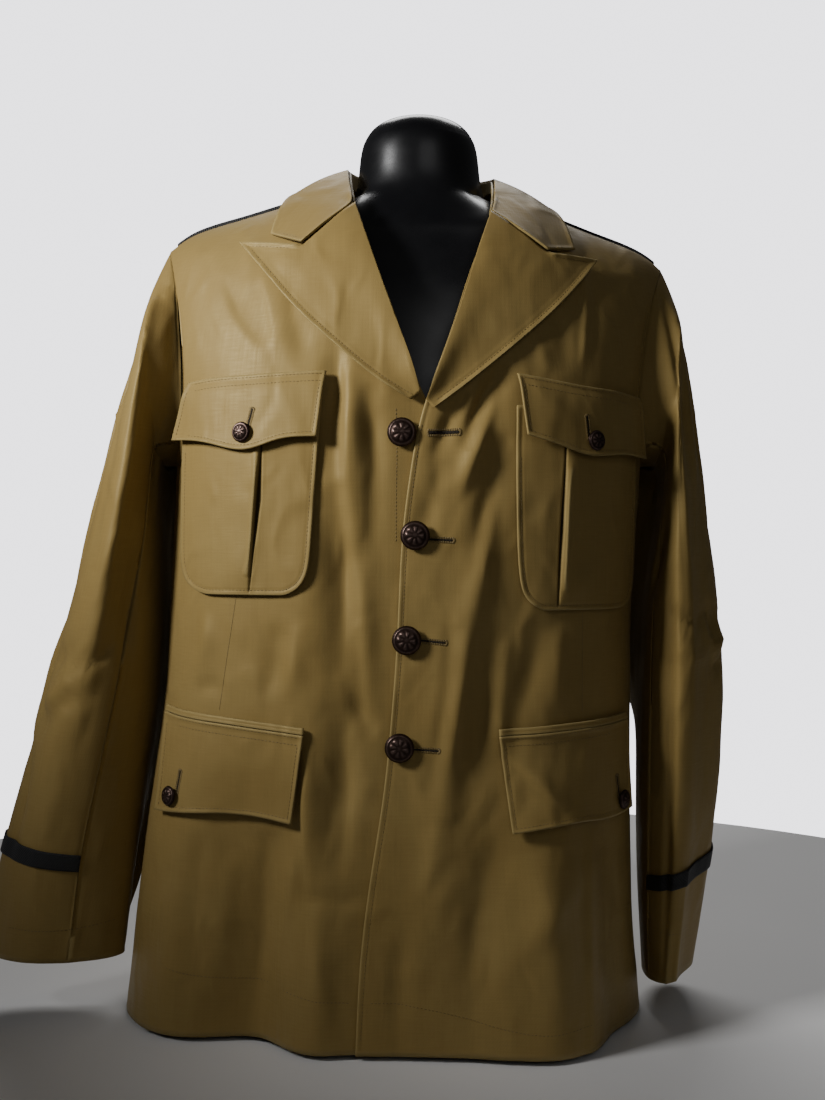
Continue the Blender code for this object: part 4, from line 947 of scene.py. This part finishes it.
# Heights down each pleat, and where its two folded edges run.
RIGHT_PLEAT = [(0.52, -0.133, -0.1312), (0.5, -0.1345, -0.1318), (0.467, -0.1374, -0.1322),
               (0.441, -0.1395, -0.1358), (0.416, -0.1414, -0.1394), (0.388, -0.1436, -0.1424)]
LEFT_PLEAT = [(0.52, 0.1238, 0.1254), (0.5, 0.123, 0.1248), (0.467, 0.1208, 0.1236),
              (0.441, 0.1192, 0.1226), (0.416, 0.118, 0.1206), (0.376, 0.1166, 0.1182)]
pocket_right = add_patch(
    "breast_pocket_right", "pocket_breast_right", RIGHT_FOLDS, 0.0004, 0.0006, RIGHT_PLEAT)
pocket_left = add_patch(
    "breast_pocket_left", "pocket_breast_left", LEFT_FOLDS, 0.0004, 0.0006, LEFT_PLEAT)
breast_flap_right = add_patch("breast_flap_right", "flap_breast_right", RIGHT_FOLDS, 0.001, 0.0012)
breast_flap_left = add_patch("breast_flap_left", "flap_breast_left", LEFT_FOLDS, 0.0009, 0.0012)


# ---- lower pockets
# Bags inside the skirt of the jacket, which open under a narrow welt; a square flap
# with rounded corners is sewn on above it with two rows and buttons through the welt.

# The left flap has a crease across its free corner.
FLAP_FOLDS = fold_rows([
    (68, 262, 98, 232, 126, 206, 5, 1.8, 0.4),
    (74, 236, 90, 220, 104, 204, 6, -1, 0),
])
welt_right = add_patch("lower_welt_right", "welt_right", RIGHT_FOLDS, 0.0003)
welt_left = add_patch("lower_welt_left", "welt_left", LEFT_FOLDS, 0.0003)
lower_flap_right = add_patch("lower_flap_right", "flap_lower_right", RIGHT_FOLDS, 0.0006, 0.001)
lower_flap_left = add_patch("lower_flap_left", "flap_lower_left", LEFT_FOLDS + FLAP_FOLDS, 0.0006, 0.001)


# ---- top-stitching and darts
# Rows of stitching 4 mm inside the edges of lapels, collar, pockets and flaps, 30 mm
# above the hem and 25 mm above the cuffs, and the long dart under each breast pocket.

EDGE_INSET = 0.004

fronts = surface_tree(front_right, front_left)
lapels = surface_tree(lapel_right, lapel_left)
collar = surface_tree(collar_leaf)
pockets = surface_tree(pocket_right, pocket_left)
flaps = surface_tree(breast_flap_right, breast_flap_left, lower_flap_right, lower_flap_left)


def to_edge(points, piece, inside, inset):
    """Moves a rough line so that it runs at one distance inside the piece's own edge."""
    edge = places(piece)[rim_marks(piece)][:, [0, 2]]
    moved = points.copy()
    for i in range(len(points)):
        run = points[min(i + 1, len(points) - 1)] - points[max(i - 1, 0)]
        run = run / np.hypot(*run)
        side = np.array([-run[1], run[0]])
        if side @ (np.array(inside) - points[i]) > 0:
            side = -side
        away = edge - points[i]
        near = (abs(away @ run) < 0.0035) & (abs(away @ side) < 0.012)
        if near.any():
            moved[i] = points[i] + side * ((away @ side)[near].max() - inset)
    smooth = moved.copy()
    for _ in range(3):
        smooth[1:-1] = (smooth[:-2] + 2 * smooth[1:-1] + smooth[2:]) / 4
    return smooth


def edge_row(line, piece, inside):
    """A row of stitches along a rough line, brought to the piece's edge."""
    return to_edge(spread(line, STITCH_PITCH), piece, inside, EDGE_INSET)


sew("stitching_lapels", [
    edge_row([
        (-0.003, 0.551), (-0.033, 0.566), (-0.07, 0.598), (-0.105, 0.632), (-0.137, 0.672),
        (-0.151, 0.689)
    ], lapel_right, (-0.04, 0.65)),
    edge_row([(-0.15, 0.691), (-0.13, 0.69), (-0.108, 0.687)], lapel_right, (-0.08, 0.64)),
    edge_row([
        (0.014, 0.545), (0.034, 0.559), (0.069, 0.588), (0.109, 0.624), (0.14, 0.658),
        (0.151, 0.673)
    ], lapel_left, (0.05, 0.64)),
    edge_row([(0.15, 0.677), (0.13, 0.679), (0.112, 0.679)], lapel_left, (0.08, 0.62)),
], lapels)

sew("stitching_pockets", [
    edge_row([
        (-0.2065, 0.515), (-0.2075, 0.45), (-0.206, 0.407), (-0.198, 0.393), (-0.184, 0.387),
        (-0.15, 0.386), (-0.11, 0.387), (-0.098, 0.393), (-0.0915, 0.407), (-0.088, 0.45),
        (-0.084, 0.515)
    ], pocket_right, (-0.146, 0.46)),
    edge_row([
        (0.191, 0.505), (0.191, 0.45), (0.19, 0.394), (0.186, 0.38), (0.178, 0.374), (0.14, 0.373),
        (0.104, 0.374), (0.092, 0.38), (0.085, 0.394), (0.0815, 0.45), (0.0815, 0.505)
    ], pocket_left, (0.137, 0.45)),
], pockets)

FLAP_EDGES = [
    (breast_flap_right, (-0.142, 0.545), [
        (-0.2, 0.566), (-0.208, 0.5225), (-0.179, 0.518), (-0.144, 0.5085), (-0.112, 0.518),
        (-0.0835, 0.5195), (-0.078, 0.566)]),
    (breast_flap_left, (0.138, 0.54), [
        (0.0825, 0.566), (0.0875, 0.5215), (0.115, 0.513), (0.142, 0.5045), (0.169, 0.508),
        (0.1925, 0.5065), (0.193, 0.553)]),
    (lower_flap_right, (-0.16, 0.24), [
        (-0.2235, 0.275), (-0.2265, 0.197), (-0.202, 0.1985), (-0.169, 0.202), (-0.135, 0.202),
        (-0.1045, 0.198), (-0.0955, 0.265)]),
    (lower_flap_left, (0.125, 0.235), [
        (0.067, 0.263), (0.0775, 0.189), (0.104, 0.192), (0.132, 0.1945), (0.16, 0.193),
        (0.184, 0.196), (0.183, 0.268)]),
]
flap_rows = []
for flap, inside, line in FLAP_EDGES:
    sides = [line[0:2], line[1:6], line[5:7]]
    flap_rows += [edge_row(side, flap, inside) for side in sides]
sew("stitching_flap_edges", flap_rows, flaps)

FLAP_TOPS = [
    [(-0.199, 0.572), (-0.174, 0.5735), (-0.142, 0.5735), (-0.11, 0.5745), (-0.079, 0.575)],
    [(0.084, 0.573), (0.11, 0.569), (0.138, 0.565), (0.166, 0.563), (0.192, 0.56)],
    [(-0.222, 0.281), (-0.198, 0.279), (-0.164, 0.277), (-0.129, 0.274), (-0.097, 0.271)],
    [(0.068, 0.269), (0.096, 0.27), (0.126, 0.2715), (0.156, 0.273), (0.182, 0.275)],
]
top_rows = []
for line in FLAP_TOPS:
    for drop in (0.0022, 0.0085):
        top_rows.append(spread([(x, z - drop) for x, z in line], STITCH_PITCH))
sew("stitching_flap_tops", top_rows, flaps)

sew("stitching_collar", [
    edge_row([(-0.124, 0.6995), (-0.102, 0.693)], collar_leaf, (-0.09, 0.73)),
    edge_row([(0.12, 0.68), (0.133, 0.69)], collar_leaf, (0.09, 0.73)),
], collar)

HEM_ROWS = [
    [(-0.2234, 0.0634), (-0.2026, 0.0584), (-0.1694, 0.0559), (-0.1278, 0.0543),
     (-0.0987, 0.0518), (-0.056, 0.048)],
    [(-0.0439, 0.0493), (-0.0156, 0.0485), (0.026, 0.041), (0.0675, 0.0302),
     (0.1049, 0.0244), (0.17, 0.03)],
]
# Down the free edge of the left front, and down the strip of the right front beside it.
EDGE_ROWS = [
    [(0.003, 0.533), (-0.001, 0.5089), (-0.0085, 0.45), (-0.0118, 0.4), (-0.0137, 0.35),
     (-0.0185, 0.284), (-0.025, 0.218), (-0.036, 0.152), (-0.0443, 0.086), (-0.0485, 0.014)],
    [(-0.019, 0.5467), (-0.0182, 0.5089), (-0.019, 0.467), (-0.019, 0.4292)],
]
sew("stitching_fronts", [spread(line, STITCH_PITCH) for line in HEM_ROWS + EDGE_ROWS], fronts)

CUFF_ROWS = [
    [(-0.372, 0.086), (-0.32, 0.083), (-0.262, 0.09)],
    [(0.208, 0.079), (0.245, 0.08), (0.286, 0.092)],
]
sew("stitching_cuffs", [spread(line, STITCH_PITCH) for line in CUFF_ROWS], surface_tree(*sleeves))

DARTS = [
    [(-0.1553, 0.386), (-0.1613, 0.348), (-0.1656, 0.3207), (-0.1707, 0.2865)],
    [(0.1406, 0.373), (0.1406, 0.3309), (0.1406, 0.284)],
]
sew("seam_darts", [spread(line, SEAM_PITCH) for line in DARTS], fronts, False, DART_STITCH)


# ---- buttonholes
# Keyhole slits worked round in thread: level ones on the left front, upright ones on
# the flaps. The top one is empty, because its button stays beside it.

# Frayed cloth in the shadow of a slit 2 mm wide.
slit_dark, tree = new_material("shadow in a slit")
frayed = noise_value(tree, add_node(tree, "ShaderNodeTexCoord").outputs["Object"], 900.0, 2.0)
deep = blend(tree, frayed, linear("#120D06"), linear("#2A2010"))
surface(tree, {"Base Color": deep, "Roughness": 0.95})

Hole = namedtuple("Hole", "name x z degrees length gap")
HOLES = [
    Hole("front_1", 0.021, 0.523, 2, 0.025, 0.0018),
    Hole("front_2", 0.016, 0.4335, -3, 0.024, 0.0011),
    Hole("front_3", 0.01, 0.349, -6, 0.024, 0.001),
    Hole("front_4", 0.004, 0.259, -4, 0.024, 0.001),
    Hole("breast_right", -0.1425, 0.5345, 75, 0.018, 0.001),
    Hole("breast_left", 0.144, 0.529, 96, 0.018, 0.001),
    Hole("lower_right", -0.208, 0.224, 80, 0.018, 0.0009),
    Hole("lower_left", 0.175, 0.218, 98, 0.018, 0.0009),
]
# A stitch round the hole, half of it to each side of the cut's edge; a bead of the slit
# is 5 mm long and as wide as the gap on both sides.
HALF_STITCH = 0.0006
HOLE_STITCH = (0.0021, 0.0009, 0.0007)
SLIT_LENGTH = 0.0052
SLIT_HEIGHT = 0.0005
cloth_skins = surface_tree(
    front_left, breast_flap_right, breast_flap_left, lower_flap_right, lower_flap_left)


def lay_between(spots, start, end, rise, *size):
    """One stitch or bead from one x, z point to the next, laid on the cloth."""
    pair = on_cloth([start, end], cloth_skins)
    if len(pair) == 2:
        (first, out), (second, _) = pair
        spots.append(Spot((first + second) / 2 + out * rise, second - first, out, *size))


hole_spots = []
slit_spots = []
for hole in HOLES:
    turn = math.radians(hole.degrees)
    along = np.array([math.cos(turn), math.sin(turn)])
    across = np.array([-along[1], along[0]])
    centre = np.array([hole.x, hole.z])
    half = hole.length / 2
    # Each stitch of the ring: where it is along and across the slit, and which way it points.
    ring = []
    for share in np.linspace(-1, 1, 18):
        ring.append((share * half, hole.gap + HALF_STITCH, 0.0, 1.0))
        ring.append((share * half, -hole.gap - HALF_STITCH, 0.0, -1.0))
    for degrees in range(-80, 81, 20):
        tip = math.radians(degrees)
        wide = hole.gap + 0.0008
        ring.append((half + 0.0016 * math.cos(tip), wide * math.sin(tip), math.cos(tip), math.sin(tip)))
        ring.append((-half - 0.001 * math.cos(tip), wide * math.sin(tip), -math.cos(tip), math.sin(tip)))
    for u, v, out_u, out_v in ring:
        spot = centre + along * u + across * v
        way = (along * out_u + across * out_v) * HALF_STITCH
        lay_between(hole_spots, spot - way, spot + way, 0.0002, *HOLE_STITCH)
    for share in np.linspace(-0.85, 0.85, 9):
        start = centre + along * (share * half - 0.002)
        end = centre + along * (share * half + 0.002)
        lay_between(slit_spots, start, end, 0.0001, SLIT_LENGTH, hole.gap * 2.0, SLIT_HEIGHT)
strew("buttonhole_thread", hole_spots, thread)
strew("buttonhole_slits", slit_spots, slit_dark)


# ---- buttons
# Shanked brass buttons, stamped with a raised rim and a rosette and lacquered a dark
# bronze that is rubbed brighter on the high parts.

BUTTON_LIFT = 0.0006

# Lacquered brass; the lacquer's spots are 1.4 mm across, and the relief is rubbed bright.
dark_bronze, tree = new_material("dark bronze button")
high = add_node(tree, "ShaderNodeAttribute", attribute_name="relief").outputs["Fac"]
spotted = noise_value(tree, add_node(tree, "ShaderNodeTexCoord").outputs["Object"], 700.0, 4.0)
rubbed = combine(tree, "MULTIPLY", high, spotted)
surface(tree, {
    "Base Color": blend(tree, rubbed, linear("#33241E"), linear("#76625A")), "Metallic": 0.8,
    "Roughness": remap(tree, spotted, 0.3, 0.7, 0.3, 0.45),
    "Normal": relief(tree, spotted, 0.15, 0.0003)})


def stamp(knob, turn):
    """Raises a rim and a plain eight-leaved rosette on the button's face."""
    rows = places(knob)
    centre = (rows.min(axis=0) + rows.max(axis=0)) / 2
    away = rows - centre
    axis = np.linalg.svd(away, full_matrices=False)[2][2]
    axis = axis if axis[1] < 0 else -axis
    right = np.cross(axis, [0.0, 0.0, 1.0])
    right /= np.linalg.norm(right)
    up = np.cross(right, axis)
    reach = np.hypot(away @ right, away @ up)
    size = reach.max()
    part = reach / size
    angle = np.arctan2(away @ up, away @ right) + turn
    face = ease(away @ axis, -0.02 * size, 0.06 * size)
    leaf = 0.5 + 0.5 * np.cos(8 * angle)
    raised = 0.9 * np.exp(-((part - 0.84) / 0.055) ** 2) + np.exp(-(part / 0.13) ** 2)
    raised += leaf * ease(part, 0.16, 0.3) * (1 - ease(part, 0.56, 0.68))
    raised *= face
    put_back(knob, rows + np.outer(raised * size * 0.045, axis))
    kept = knob.data.attributes.new("relief", "FLOAT", "POINT")
    kept.data.foreach_set("value", raised.astype(np.float32))


for number, (node, folds) in enumerate((
        ("front_button_1", RIGHT_FOLDS), ("front_button_2", LEFT_FOLDS),
        ("front_button_3", LEFT_FOLDS), ("front_button_4", LEFT_FOLDS),
        ("breast_button_right", RIGHT_FOLDS), ("breast_button_left", LEFT_FOLDS),
        ("lower_button_right", RIGHT_FOLDS), ("lower_button_left", LEFT_FOLDS))):
    knob = smooth_copy(node, node.replace("button", "stud"), 3, 0.5)
    stamp(knob, number * 0.7)
    # The button rides on the cloth, wherever the folds have moved it.
    rows = places(knob)
    middle = rows.mean(axis=0)[None, :]
    lift = fold_height(middle[:, [0, 2]], folds) + BUTTON_LIFT
    put_back(knob, rows + body_outward(middle) * lift[0])
    finish_piece(knob, dark_bronze, "brown_button", node)


# ---- studio
# A plain pale floor under soft daylight from the upper left, and the camera level with
# the pockets, as the photograph was taken.

bpy.ops.object.select_all(action="DESELECT")
bpy.ops.mesh.primitive_circle_add(vertices=96, radius=0.9, fill_type="NGON", location=(0, 0, 0))
floor = bpy.context.object
floor.name = "studio_floor"
pale, tree = new_material("pale matt studio floor")
cloud = noise_value(tree, add_node(tree, "ShaderNodeTexCoord").outputs["Object"], 3.0, 3.0)
tone = blend(tree, cloud, linear("#E6E5E4"), linear("#EEEDEC"))
surface(tree, {"Base Color": tone, "Roughness": 0.85})
floor.data.materials.append(pale)
floor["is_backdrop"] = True

world = bpy.data.worlds.new("studio")
bpy.context.scene.world = world
world.use_nodes = True
world.node_tree.nodes.clear()
# The room gives little light, and the wall behind is seen bright.
room = add_node(world.node_tree, "ShaderNodeBackground", {"Color": linear("#E8E9EC"), "Strength": 0.05})
wall = add_node(world.node_tree, "ShaderNodeBackground", {"Color": linear("#F4F3F9"), "Strength": 3.0})
seen = add_node(world.node_tree, "ShaderNodeLightPath")
sky = add_node(world.node_tree, "ShaderNodeMixShader", {
    "Fac": seen.outputs["Is Camera Ray"], 1: room.outputs["Background"], 2: wall.outputs["Background"]})
add_node(world.node_tree, "ShaderNodeOutputWorld", {"Surface": sky.outputs["Shader"]})

Lamp = namedtuple("Lamp", "name x y z width height power beam aim_x aim_z")
LAMPS = [
    Lamp("key", -1.08, -0.7, 1.02, 0.3, 0.3, 2.55, 56, 0.06, 0.58),
    Lamp("fill", 0.5, -1.7, 1.2, 0.9, 0.9, 2.0, 180, 0.0, 0.5),
    Lamp("back", 0.1, 1.2, 2.3, 1.4, 0.8, 19, 180, 0.0, 0.3),
]
for row in LAMPS:
    data = bpy.data.lights.new(row.name, "AREA")
    data.shape = "RECTANGLE"
    data.size = row.width
    data.size_y = row.height
    data.energy = row.power
    data.spread = math.radians(row.beam)
    lamp = bpy.data.objects.new(row.name, data)
    lamp.location = (row.x, row.y, row.z)
    way = Vector((row.aim_x, 0, row.aim_z)) - lamp.location
    lamp.rotation_euler = way.to_track_quat("-Z", "Y").to_euler()
    bpy.context.scene.collection.objects.link(lamp)

SENSOR_HEIGHT = 36.0
lens = bpy.data.cameras.new("photo camera")
lens.sensor_fit = "VERTICAL"
lens.sensor_height = SENSOR_HEIGHT
# The photo is 1100 pixels high, seen from 1250 pixels away.
lens.lens = 1250 / 1100 * SENSOR_HEIGHT
camera = bpy.data.objects.new("photo camera", lens)
camera.location = (-0.0052, -1.179, 0.425)
camera.rotation_euler = (math.radians(90), 0, 0)
bpy.context.scene.collection.objects.link(camera)
bpy.context.scene.camera = camera

low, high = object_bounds()
